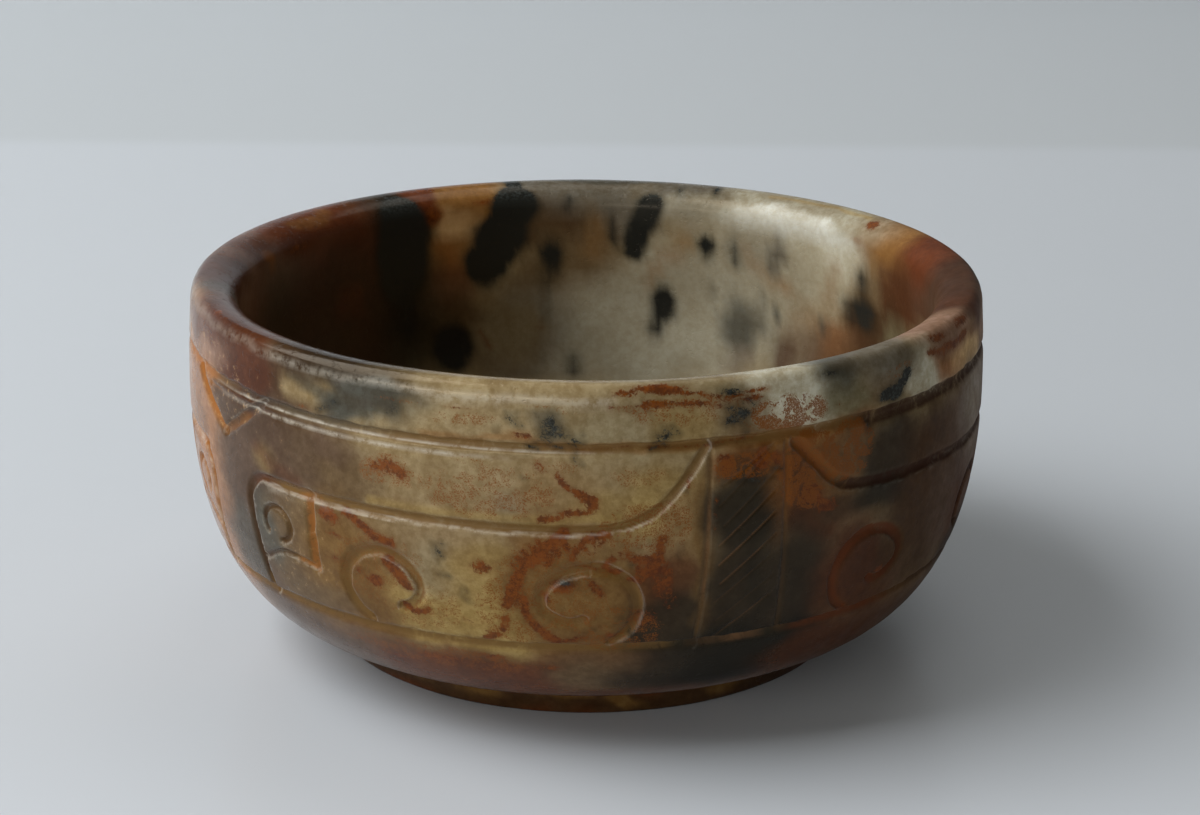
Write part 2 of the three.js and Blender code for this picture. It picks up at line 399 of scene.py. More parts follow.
@dataclass
class Unrolled:
    """The cup's surface laid flat: azimuth one way and length along the outline the other."""

    section: Section

    def __post_init__(self) -> None:
        """Works out the outline, the length along it and the rows where each face ends."""
        section = self.section
        self.line = section.outline()
        steps = np.hypot(*np.diff(self.line, axis=0).T)
        self.lengths = np.concatenate([[0.0], np.cumsum(steps)])
        self.foot_end = len(section.foot_rings())
        self.foot_side = self.foot_end - 1 - round(section.foot_height / section.foot_side_step)
        self.wall_end = self.foot_end + len(section.wall_rings())
        self.lip_end = self.wall_end + len(section.lip_rings()) - 1
        self.crown = int(self.line[:, 1].argmax())

    def stations(self, radius: np.ndarray, height: np.ndarray) -> np.ndarray:
        """Finds the length along the outline of many points.

        Args:
            radius: Distance of each point from the turning axis.
            height: Height of each point.

        Returns:
            The length along the outline at the nearest place on it.
        """
        points = np.stack([radius, height], 1)
        parts = []
        for chunk in np.array_split(points, max(1, len(points) // 8000)):
            _, share, _ = nearest_on_line(chunk, self.line)
            parts.append(share * self.lengths[-1])
        return np.concatenate(parts)

    def station(self, face: Face, value: float) -> float:
        """Finds the length along the outline of a place on one face.

        Args:
            face: Which face the place is on.
            value: The place on it, as the face's own words say.

        Returns:
            The length along the outline.
        """
        if face is Face.OUTSIDE:
            rows = slice(self.foot_side, self.wall_end)
            return float(np.interp(value, self.line[rows, 1], self.lengths[rows]))
        if face is Face.UNDER:
            rows = slice(0, self.foot_side)
            return float(np.interp(value, self.line[rows, 0], self.lengths[rows]))
        if face is Face.LIP:
            ends = self.lengths[self.wall_end - 1], self.lengths[self.lip_end - 1]
            return float(ends[0] + value * (ends[1] - ends[0]))
        rows = slice(self.crown if face is Face.INSIDE else self.lip_end - 1, None)
        if face is Face.INSIDE:
            heights = self.line[rows, 1][::-1]
            return float(np.interp(value, heights, self.lengths[rows][::-1]))
        radii = self.line[rows, 0][::-1]
        return float(np.interp(value, radii, self.lengths[rows][::-1]))


@dataclass
class CutLine:
    """A line cut into the wall with a small wheel.

    The path is azimuth in degrees and height in millimetres. lean moves the deepest place to
    one side of the line, from -1 to 1, and changes to end_lean along it, over the shares of
    its way in lean_change. swell widens the middle of the line by a share, and the wear share
    says how pale its steeper edge is, in patches: partly rubbed wear and partly a painted glint
    where the edge catches the light. The paleness fades over the share faded at either end.
    tremble holds the share and the pace of the hand's two tremors.
    """

    path: Line
    width: float = 1.25
    depth: float = 0.34
    lean: float = 0.0
    end_lean: float | None = None
    swell: float = 0.0
    worn: float = 0.32
    worn_width: float = 0.1
    faded: float = 0.0
    fine: bool = True
    tremble: Sequence[Pair] = ((0.06, 0.9), (0.05, 2.4))
    lean_change: Pair = (0.35, 0.6)
    crispness: float = 1.8
    worn_place: float = 0.96
    patchiness: float = 0.28
    patch_pace: Pair = (1.7, 0.53)

    def flat_line(self, scale: float) -> np.ndarray:
        """Gives the path laid flat, in millimetres."""
        return smooth_line(np.array(self.path, float) * np.array([scale, 1.0]), PATH_STEP)

    def near(self, place: np.ndarray, line: np.ndarray, reach: float) -> np.ndarray:
        """Tells which places lie in the box round the line, widened by the reach."""
        return ((place > line.min(0) - reach) & (place < line.max(0) + reach)).all(1)

    def strokes(self, points: np.ndarray, scale: float) -> tuple[np.ndarray, np.ndarray]:
        """Works out how deep the line is and how pale its edge is, by wear and painted glint, at many places.

        Args:
            points: Rows of azimuth in degrees and height in millimetres.
            scale: Millimetres of wall to a degree.

        Returns:
            The depth in millimetres and the share of wear and painted glint at each place.
        """
        line = self.flat_line(scale)
        depth = np.zeros(len(points))
        wear_and_glint = np.zeros(len(points))
        place = points * np.array([scale, 1.0])
        near = self.near(place, line, self.width * (1 + self.swell))
        if not near.any():
            return depth, wear_and_glint
        distance, share, side = nearest_on_line(place[near], line)
        run = share * len(line) * PATH_STEP
        wobble = sum(size * np.sin(pace * run + pace) for size, pace in self.tremble)
        half = self.width / 2 * (1 + self.swell * np.sin(math.pi * share) + wobble)
        across = distance * side / half
        end = self.lean if self.end_lean is None else self.end_lean
        lean = self.lean + (end - self.lean) * smooth_step(*self.lean_change, share)
        slope = np.where(across < lean, (1 + across) / (1 + lean), (1 - across) / (1 - lean))
        slope = np.clip(slope, 0, 1)
        steep = np.where(lean < 0, -1.0, 1.0)
        crisp = 1 - (1 - slope) ** self.crispness
        soft = smooth_step(0.0, 1.0, slope)
        depth[near] = self.depth * np.where((across - lean) * steep > 0, crisp, soft)
        from_edge = np.abs(across * steep - self.worn_place) * half / self.worn_width
        quick, slow = self.patch_pace
        patches = self.patchiness * np.sin(quick * run + 2.0) * np.sin(slow * run)
        patchy = 1 - self.patchiness + patches
        if self.faded:
            patchy = patchy * smooth_step(0.0, self.faded, share) * smooth_step(0.0, self.faded, 1 - share)
        wear_and_glint[near] = self.worn * patchy * np.clip(1.4 - from_edge, 0, 1)
        return depth, wear_and_glint

    def gap(self, points: np.ndarray, scale: float) -> np.ndarray:
        """Measures how far each place lies outside the line's edge.

        Args:
            points: Rows of azimuth in degrees and height in millimetres.
            scale: Millimetres of wall to a degree.

        Returns:
            The distance in millimetres, or a large number far away.
        """
        line = self.flat_line(scale)
        result = np.full(len(points), FAR)
        place = points * np.array([scale, 1.0])
        near = self.near(place, line, self.width + 2.0)
        if near.any():
            result[near] = nearest_on_line(place[near], line)[0] - self.width / 2 * (1 + self.swell)
        return result


@dataclass
class HalfMask:
    """One half of a mask, from its nose out to the boundary with the next one.

    side is 1 towards a growing azimuth and -1 the other way. Places along it are degrees
    from the nose. volutes holds the centre and the half width of each volute, whether it
    starts at the side away from the nose, and the turn at which its hook stops.
    """

    nose: float
    side: int
    frame_outer: float
    sweep: Line
    volutes: Sequence[tuple[float, float, bool, float]]
    section: Section
    fine: bool = True
    # Scales the pale carved edges, which are partly painted glints; it is low on a half in shade.
    pale_edge_share: float = 1.0
    nose_half_width: float = 5.75
    nose_splay: float = 0.4
    brow_below_groove: float = 7.2
    brow_width: float = 1.2
    frame_width: float = 12.8
    corner_width: float = 4.5
    corner_height: float = 3.0
    frame_lean: float = 1.2
    shelf_height: float = 5.0
    curl_half: Pair = (2.7, 1.65)
    curl_above_shelf: float = 3.0
    volute_top_gap: float = 3.7
    volute_draw: float = 0.73

    @property
    def brow_height(self) -> float:
        """Height of the level part of the brow."""
        return self.section.rim_groove_height - self.brow_below_groove

    @property
    def frame_inner(self) -> float:
        """Degrees from the nose to the frame's inner upright."""
        return self.frame_outer - self.frame_width

    def place(self, offsets: Line) -> list[Pair]:
        """Turns places along the half mask into azimuths."""
        return [(self.nose + self.side * offset, height) for offset, height in offsets]

    def line(self, offsets: Line, **sizes: float) -> CutLine:
        """Cuts one line of this half mask, with its lean mirrored as the half is.

        Args:
            offsets: Degrees from the nose and heights.
            sizes: The line's own sizes.

        Returns:
            The line.
        """
        lean = sizes.pop("lean", 0.0) * self.side
        end_lean = sizes.pop("end_lean", None)
        end_lean = None if end_lean is None else end_lean * self.side
        worn = sizes.pop("worn", 0.6) * self.pale_edge_share
        path = self.place(offsets)
        return CutLine(path, lean=lean, end_lean=end_lean, worn=worn, fine=self.fine, **sizes)

    def nose_edge(self) -> list[CutLine]:
        """Cuts the long upright beside the nose, steep on the nose's side.

        Returns:
            Its one line.
        """
        low, high = self.section.lower_groove_height, self.section.rim_groove_height
        half, splay = self.nose_half_width, self.nose_splay
        offsets = [(half - splay, high), (half - splay / 2, (low + high) / 2), (half + splay, low)]
        return [self.line(offsets, width=0.9, depth=0.16, lean=-0.3, worn=0.05)]

    def brow(self) -> list[CutLine]:
        """Cuts the brow, which sweeps out level and turns down into the frame's upright.

        Returns:
            The brow and the thin second stroke below it.
        """
        level = self.brow_height
        start = self.frame_outer - self.corner_width
        corner = []
        for turn in (0, 30, 60, 90):
            angle = math.radians(turn)
            drop = self.corner_height * (1 - math.cos(angle))
            corner.append((start + self.corner_width * math.sin(angle), level - drop))
        middle = (self.section.lower_groove_height + level) / 2
        foot = (self.frame_outer - self.frame_lean, self.section.lower_groove_height)
        upright = [(self.frame_outer - self.frame_lean / 4, middle), foot]
        run = [*self.sweep, *corner]
        second = [(offset, height - 0.5) for offset, height in run[len(self.sweep) - 2 : -3]]
        return [
            self.line([*run, *upright], width=self.brow_width, depth=0.36, lean=-0.25, worn=0.58),
            self.line(second, width=0.6, depth=0.3, worn=0.55),
        ]

    def frame(self) -> list[CutLine]:
        """Cuts the rest of the square frame and the small curl inside it.

        Returns:
            The inner upright, the shelf and the curl.
        """
        shelf = self.section.lower_groove_height + self.shelf_height
        inner, outer = self.frame_inner, self.frame_outer
        upright = [(inner, self.brow_height - 0.3), (inner, (self.brow_height + shelf) / 2), (inner, shelf)]
        ledge = [(inner, shelf), (inner + 6.2, shelf + 0.35), (outer - self.frame_lean, shelf - 1.3)]
        centre = (inner + outer) / 2 + 0.5
        middle = shelf + self.curl_above_shelf
        half_width, half_height = self.curl_half
        angles = [math.radians(180 - turn) for turn in range(215, -81, -29)]
        curl = []
        for angle in angles:
            curl.append((centre + half_width * math.cos(angle), middle + half_height * math.sin(angle)))
        return [
            self.line(upright, width=1.4, depth=0.4, lean=-0.5, worn=0.36),
            self.line(ledge, width=0.85, depth=0.3, lean=-0.3, worn=0.4),
            self.line(curl, width=0.9, depth=0.36, worn=0.3),
        ]

    def volute(self, centre: float, half: float, outward: bool, end: float) -> list[CutLine]:
        """Cuts a volute, which rises from the lower groove, goes round and hooks in.

        Args:
            centre: Degrees from the nose to its middle.
            half: Half of its width, in degrees.
            outward: Whether it starts at the side away from the nose.
            end: The turn at which its hook stops.

        Returns:
            The volute's one line.
        """
        direction = 1 if outward else -1
        low = self.section.lower_groove_height + 0.4
        high = self.brow_height - self.volute_top_gap
        offsets = []
        turn = 240.0
        while turn >= end:
            angle = math.radians(180 - turn)
            hook = max(5 - turn, 0) / 95
            drawn = 1 - self.volute_draw * hook**0.8
            across = centre + direction * half * drawn * math.cos(angle)
            offsets.append((across, (low + high) / 2 + (high - low) / 2 * drawn * math.sin(angle)))
            turn -= 20
        lean = 0.5 * direction
        start = lean if outward else -lean
        return [self.line(offsets, width=1.3, depth=0.38, lean=start, end_lean=lean, swell=0.3, worn=0.24)]

    def lines(self) -> list[CutLine]:
        """Gives every line of the half mask.

        Returns:
            The lines.
        """
        cuts = self.nose_edge() + self.brow() + self.frame()
        for volute in self.volutes:
            cuts += self.volute(*volute)
        return cuts


@dataclass
class Carving:
    """All that is cut into the outer wall: two masks, the notches between them and the grooves."""

    section: Section
    front_nose: float = 21.2
    back_nose: float = 201.2
    left_boundary: float = -57.0
    right_boundary: float = 102.0
    frame_from_boundary: float = 5.8
    notch_half_width: float = 10.0
    notch_drop: float = 4.7
    hatch_rise: float = 3.9
    hatch_gap: float = 1.9

    def masks(self) -> list[HalfMask]:
        """Lays out the four halves of the two masks.

        Returns:
            The front mask's halves, then the back mask's.
        """
        groove = self.section.rim_groove_height
        level = groove - HalfMask.brow_below_groove
        left = [(6.0, groove), (7.4, groove - 1.6), (9.6, groove - 3.7), (12.4, groove - 5.6)]
        left += [(16.0, groove - 6.7), (21.0, groove - 7.1), (30.0, level + 0.05)]
        left += [(46.0, level + 0.1), (60.0, level)]
        right = [(6.8, groove - 0.6), (8.8, groove - 2.0), (11.5, groove - 4.0), (14.0, groove - 5.2)]
        right += [(18.0, groove - 5.8), (24.0, groove - 6.1), (34.0, groove - 6.4), (46.0, groove - 6.9)]
        eye = (20.8, 6.5, False, -85.0)
        second, far, third = ((centre, 6.1, True, -45.0) for centre in (48.4, 50.8, 72.5))
        front, back, edge = self.front_nose, self.back_nose, self.frame_from_boundary
        front_left = front - self.left_boundary - edge
        front_right = self.right_boundary - front - edge
        back_right = back - self.right_boundary - edge
        back_left = 360 + self.left_boundary - back - edge
        section, behind = self.section, [eye, second, third]
        return [
            HalfMask(front, -1, front_left, left, [eye, second], section),
            # The right half lies in shade, so the painted glints on its carved edges are faint.
            HalfMask(front, 1, front_right, right, [eye, far], section, pale_edge_share=0.2, brow_width=1.6),
            HalfMask(back, -1, back_right, left, behind, section, fine=False),
            HalfMask(back, 1, back_left, left, behind, section, fine=False),
        ]

    def notches(self) -> list[CutLine]:
        """Cuts the pair of slanting lines that meet in a point between two masks.

        Returns:
            Two lines at each boundary.
        """
        top = self.section.rim_groove_height
        cuts = []
        for boundary in (self.left_boundary, self.right_boundary):
            for side in (-1, 1):
                path = [
                    (boundary, top - self.notch_drop),
                    (boundary + side * self.notch_half_width / 2, top - self.notch_drop / 2 - 0.25),
                    (boundary + side * self.notch_half_width, top - 0.2),
                ]
                cuts.append(CutLine(path, width=1.2, depth=0.4, lean=0.4 * side, swell=0.3, worn=0.25))
        return cuts

    def hatching(self) -> list[CutLine]:
        """Scratches the slanting hairlines into the two nose panels.

        Returns:
            The hairlines.
        """
        cuts = []
        low = self.section.lower_groove_height + 0.6
        high = self.section.rim_groove_height - 1.2
        for nose in (self.front_nose, self.back_nose):
            count = int((high - low) / self.hatch_gap)
            for number in range(count):
                shift = nose + 0.35 * math.sin(2.4 * number)
                base = low + number * self.hatch_gap
                rise = self.hatch_rise * (1 + 0.35 * number / count)
                path = [(shift - 3.6, max(base, low)), (shift + 3.8, min(base + rise, high + 1.0))]
                depth = 0.1 + 0.03 * math.sin(5.1 * number)
                cuts.append(CutLine(path, width=0.42, depth=depth, worn=0.0, fine=nose < 90))
        return cuts

    def rings(self) -> list[CutLine]:
        """Cuts the two grooves that run all the way round, the upper one with a second stroke.

        Returns:
            The two grooves, and the fine and broad strokes beside the upper one.
        """
        upper, lower = self.section.rim_groove_height, self.section.lower_groove_height
        full = range(-184, 185, 8)
        top = [(azimuth, upper + 0.12 * math.sin(math.radians(3 * azimuth))) for azimuth in full]
        bottom = [(azimuth, lower + 0.1 * math.sin(math.radians(2 * azimuth + 40))) for azimuth in full]
        # The two shallow strokes below the upper groove on the left front have pale edges that are painted
        # glints as well as wear.
        lit = [(azimuth, upper + 0.04) for azimuth in range(-64, 9, 8)]
        stroke = [(azimuth, upper - 0.72) for azimuth in range(-62, 2, 8)]
        broad = [(azimuth, upper - 0.25) for azimuth in range(40, 121, 8)]
        return [
            CutLine(top, width=1.4, depth=0.36, lean=0.55, worn=0.0, fine=False),
            CutLine(bottom, width=1.3, depth=0.36, lean=0.5, worn=0.0, fine=False),
            CutLine(lit, width=0.5, depth=0.1, lean=-0.4, worn=0.85, faded=0.25, fine=False),
            CutLine(stroke, width=0.5, depth=0.2, lean=-0.4, worn=0.85, faded=0.25, fine=False),
            CutLine(broad, width=1.7, depth=0.36, lean=0.3, worn=0.0, fine=False),
        ]

    def motif(self) -> list[CutLine]:
        """Gives the lines that need a fine mesh.

        Returns:
            All the lines but the rings.
        """
        cuts = self.notches() + self.hatching()
        for mask in self.masks():
            cuts += mask.lines()
        return cuts


@dataclass(frozen=True)
class Wash:
    """A soft patch of one tint. Sizes are half widths in millimetres, round and up the wall."""

    azimuth: float
    value: float
    half_round: float
    half_up: float
    tint: Tint
    strength: float = 1.0
    turn: float = 0.0
    soft: float = 0.45


@dataclass(frozen=True)
class Streak:
    """A soft streak of one tint through azimuth and height pairs."""

    path: Line
    width: float
    tint: Tint
    strength: float = 1.0
    soft: float = 0.6


@dataclass(frozen=True)
class Blot:
    """A crisp spot of ink or rust. Sizes are half widths in millimetres."""

    azimuth: float
    value: float
    half_round: float
    half_up: float
    strength: float = 1.0
    turn: float = 0.0


@dataclass(frozen=True)
class Vein:
    """A crisp thread of rust or ink through azimuth and height pairs."""

    path: Line
    width: float
    strength: float = 1.0


Washes = list[Union[Wash, Streak]]
Marks = list[Union[Blot, Vein]]


@dataclass(frozen=True)
class Layer:
    """Marks of one kind that lie on one face of the cup, in the order that they are laid on."""

    face: Face
    marks: Washes | Marks


@dataclass(frozen=True)
class Markings:
    """All the marks of the stone.

    washes give its colour, a few of them painted highlights and a painted reflection, seams the
    colour of the dirt in the cut lines, partly painted shade, rust and ink its crisp marks, flecks
    the places with fine rusty specks, dust those with golden specks, and the lip's layer of
    whitish streaks a painted highlight along its outer edge.
    """

    washes: Sequence[Layer]
    seams: Sequence[Layer]
    rust: Sequence[Layer]
    ink: Sequence[Layer]
    flecks: Sequence[Layer]
    dust: Sequence[Layer]
    painted_highlight: Sequence[Layer]


@dataclass
class StoneFigure:
    """Lays the markings on the unrolled surface and gives their strength at every place.

    points are the places to be marked, as rows of x, y and z in millimetres. stir holds the
    size and the reach of the two waves that stir the places, so that no outline is smooth.
    """

    unrolled: Unrolled
    points: np.ndarray
    stir: tuple[Pair, ...] = ((5.5, 1.5), (1.9, 0.7))
    stir_shift: Shares = (31.4, 17.2, 5.8)
    mark_stir: float = 0.35
    streak_stir: float = 0.5
    outside_edge: float = 1.1
    inside_edge: float = 2.0

    def __post_init__(self) -> None:
        """Unrolls the places and stirs them."""
        unrolled, points = self.unrolled, self.points
        self.radius = np.hypot(points[:, 0], points[:, 1])
        self.azimuth = np.degrees(np.arctan2(points[:, 0], -points[:, 1]))
        self.station = unrolled.stations(self.radius, points[:, 2])
        self.inside = smooth_step(-0.9, 0.9, self.station - unrolled.station(Face.LIP, 0.8))
        self.drift = np.zeros((len(points), 2))
        shift = Vector(self.stir_shift)
        for size, reach in self.stir:
            places = [Vector(point) / size for point in points]
            rows = [(noise.noise(place), noise.noise(place + shift)) for place in places]
            self.drift += np.array(rows) * reach

    def offsets(self, azimuth: float, value: float, face: Face, stir: float) -> tuple[np.ndarray, np.ndarray]:
        """Measures from one place on the surface to all the places to be marked.

        Args:
            azimuth: Azimuth of the place, in degrees.
            value: The place on its face.
            face: The face that it is on.
            stir: How much of the stirring to use.

        Returns:
            Millimetres round the cup and millimetres along the outline.
        """
        turned = (self.azimuth - azimuth + 180) % 360 - 180
        around = np.radians(turned) * self.radius + self.drift[:, 0] * stir
        along = self.station - self.unrolled.station(face, value) + self.drift[:, 1] * stir
        return around, along

    def oval(self, mark: Wash | Blot, face: Face, stir: float) -> np.ndarray:
        """Measures each place against a mark's oval, which is 1 at its edge.

        Args:
            mark: The oval mark.
            face: The face that it is on.
            stir: How much of the stirring to use.

        Returns:
            The measure of each place.
        """
        around, along = self.offsets(mark.azimuth, mark.value, face, stir)
        cos, sin = math.cos(math.radians(mark.turn)), math.sin(math.radians(mark.turn))
        first = (around * cos + along * sin) / mark.half_round
        second = (along * cos - around * sin) / mark.half_up
        return np.hypot(first, second)

    def thread(self, mark: Streak | Vein, face: Face, stir: float) -> np.ndarray:
        """Gives the millimetres from each place to the middle of a thread.

        Args:
            mark: The thread.
            face: The face that it is on.
            stir: How much of the stirring to use.

        Returns:
            The distance of each place, or a large one far away.
        """
        middle = sum(azimuth for azimuth, _ in mark.path) / len(mark.path)
        turned = (self.azimuth - middle + 180) % 360 - 180
        stations = [self.unrolled.station(face, value) for _, value in mark.path]
        reach = 2.5 * mark.width + 3
        near = np.abs(self.station - np.mean(stations)) < np.ptp(stations) / 2 + reach
        gap = np.full(len(turned), FAR)
        if not near.any():
            return gap
        scale = math.radians(float(self.radius[near].mean()))
        path = [((azimuth - middle) * scale, station) for (azimuth, _), station in zip(mark.path, stations)]
        line = smooth_line(path, 0.8)
        close = near & (np.abs(turned * scale) < np.abs(line[:, 0]).max() + reach)
        if close.any():
            around = turned[close] * scale + self.drift[close, 0] * stir
            along = self.station[close] + self.drift[close, 1] * stir
            gap[close] = nearest_on_line(np.stack([around, along], 1), line)[0]
        return gap

    def colour(self, layers: Sequence[Layer], ground: Tint) -> np.ndarray:
        """Lays the washes over the ground tint.

        Args:
            layers: The washes and streaks, in the order that they are laid on.
            ground: The tint under them all.

        Returns:
            Rows of linear red, green, blue and alpha.
        """
        result = np.tile(np.array(linear(ground.value)), (len(self.azimuth), 1))
        for layer in layers:
            for mark in layer.marks:
                if isinstance(mark, Streak):
                    edge = self.thread(mark, layer.face, self.streak_stir) / (mark.width / 2)
                else:
                    edge = self.oval(mark, layer.face, 1.0)
                share = mark.strength * (1 - smooth_step(1 - mark.soft, 1 + mark.soft, edge))
                result += (np.array(linear(mark.tint.value)) - result) * share[:, None]
        return result

    def strength(self, layers: Sequence[Layer]) -> np.ndarray:
        """Gives how strongly the crisp marks lie on each place, with 0.5 at their edges.

        Args:
            layers: Blots and veins of one kind.

        Returns:
            A share from 0 to 1 for each place.
        """
        edge = self.outside_edge + (self.inside_edge - self.outside_edge) * self.inside
        result = np.zeros(len(self.azimuth))
        for layer in layers:
            for mark in layer.marks:
                if isinstance(mark, Vein):
                    depth = mark.width / 2 - self.thread(mark, layer.face, self.mark_stir)
                else:
                    oval = self.oval(mark, layer.face, self.mark_stir)
                    depth = (1 - oval) * min(mark.half_round, mark.half_up)
                share = np.clip(0.5 + depth / edge, 0, 1) * mark.strength
                result = np.maximum(result, share)
        return result


@dataclass(frozen=True)
class Grain:
    """Noise in a surface: the size of its main grain in millimetres and how it is broken up."""

    size: float
    detail: float = 5.0
    rough: float = 0.7
    twist: float = 0.0


class Board:
    """Places shader nodes on one material and joins them."""

    def __init__(self, tree: bpy.types.NodeTree) -> None:
        """Keeps the tree and empties it.

        Args:
            tree: The material's or the world's node tree.
        """
        self.tree = tree
        tree.nodes.clear()

    def add(self, kind: str, inputs: dict[str | int, Value] | None = None, **options: str) -> bpy.types.Node:
        """Adds one node.

        Args:
            kind: Blender's own name for the kind of node.
            inputs: What each input gets, by its name or its number.
            options: The node's own options.

        Returns:
            The node.
        """
        node = self.tree.nodes.new(kind)
        for name, option in options.items():
            setattr(node, name, option)
        for name, value in (inputs or {}).items():
            if isinstance(value, Socket):
                self.tree.links.new(value, node.inputs[name])
            else:
                node.inputs[name].default_value = value
        return node

    def surface(self, kind: str, inputs: dict[str, Value], output: str = "ShaderNodeOutputMaterial") -> None:
        """Adds a shader and joins it to the output."""
        shader = self.add(kind, inputs)
        self.add(output, {"Surface": shader.outputs[0]})

    def share(self, name: str) -> Socket:
        """Reads a number from an attribute of the mesh."""
        return self.add("ShaderNodeAttribute", attribute_name=name).outputs["Fac"]

    def colour(self, name: str) -> Socket:
        """Reads a colour from an attribute of the mesh."""
        return self.add("ShaderNodeAttribute", attribute_name=name).outputs["Color"]

    def position(self) -> Socket:
        """Gives the place on the piece, in its own coordinates."""
        return self.add("ShaderNodeTexCoord").outputs["Object"]

    def along(self, place: Socket, axis: str) -> Socket:
        """Gives one coordinate of a place."""
        return self.add("ShaderNodeSeparateXYZ", {0: place}).outputs[axis]

    def noise(self, place: Socket, grain: Grain) -> Socket:
        """Gives noise from 0 to 1 at a place."""
        inputs = {"Vector": place, "Scale": 1 / (grain.size * MM), "Detail": grain.detail}
        inputs |= {"Roughness": grain.rough, "Distortion": grain.twist}
        return self.add("ShaderNodeTexNoise", inputs).outputs["Fac"]

    def math(self, operation: str, *values: Value) -> Socket:
        """Works out one step of arithmetic."""
        return self.add("ShaderNodeMath", dict(enumerate(values)), operation=operation).outputs[0]

    def product(self, first: Value, second: Value) -> Socket:
        """Multiplies two values."""
        return self.math("MULTIPLY", first, second)

    def rise(self, value: Value, low: Value, high: Value, top: float = 1.0) -> Socket:
        """Rises smoothly from 0 at low to the top at high."""
        inputs = {"Value": value, "From Min": low, "From Max": high, "To Max": top}
        return self.add("ShaderNodeMapRange", inputs, interpolation_type="SMOOTHSTEP").outputs[0]

    def mix(self, share: Value, first: Value, second: Value, blend: str = "MIX") -> Socket:
        """Mixes two colours, by the sockets 0, 6 and 7 and the output 2, which are for colours."""
        inputs = {0: share, 6: first, 7: second}
        return self.add("ShaderNodeMix", inputs, data_type="RGBA", blend_type=blend).outputs[2]

    def bump(self, height: Socket, strength: float, depth: float, below: Socket | None = None) -> Socket:
        """Adds fine relief.

        Args:
            height: The relief's height from 0 to 1.
            strength: How strongly it shows.
            depth: Its depth in millimetres.
            below: The relief that it lies on, if any.

        Returns:
            The surface's normal.
        """
        inputs = {"Strength": strength, "Distance": depth * MM, "Height": height}
        if below is not None:
            inputs["Normal"] = below
        return self.add("ShaderNodeBump", inputs).outputs[0]


def new_material(name: str) -> tuple[bpy.types.Material, Board]:
    """Makes a material.

    Args:
        name: The material's name.

    Returns:
        The material and the empty board of its nodes.
    """
    material = bpy.data.materials.new(name)
    material.use_nodes = True
    return material, Board(material.node_tree)


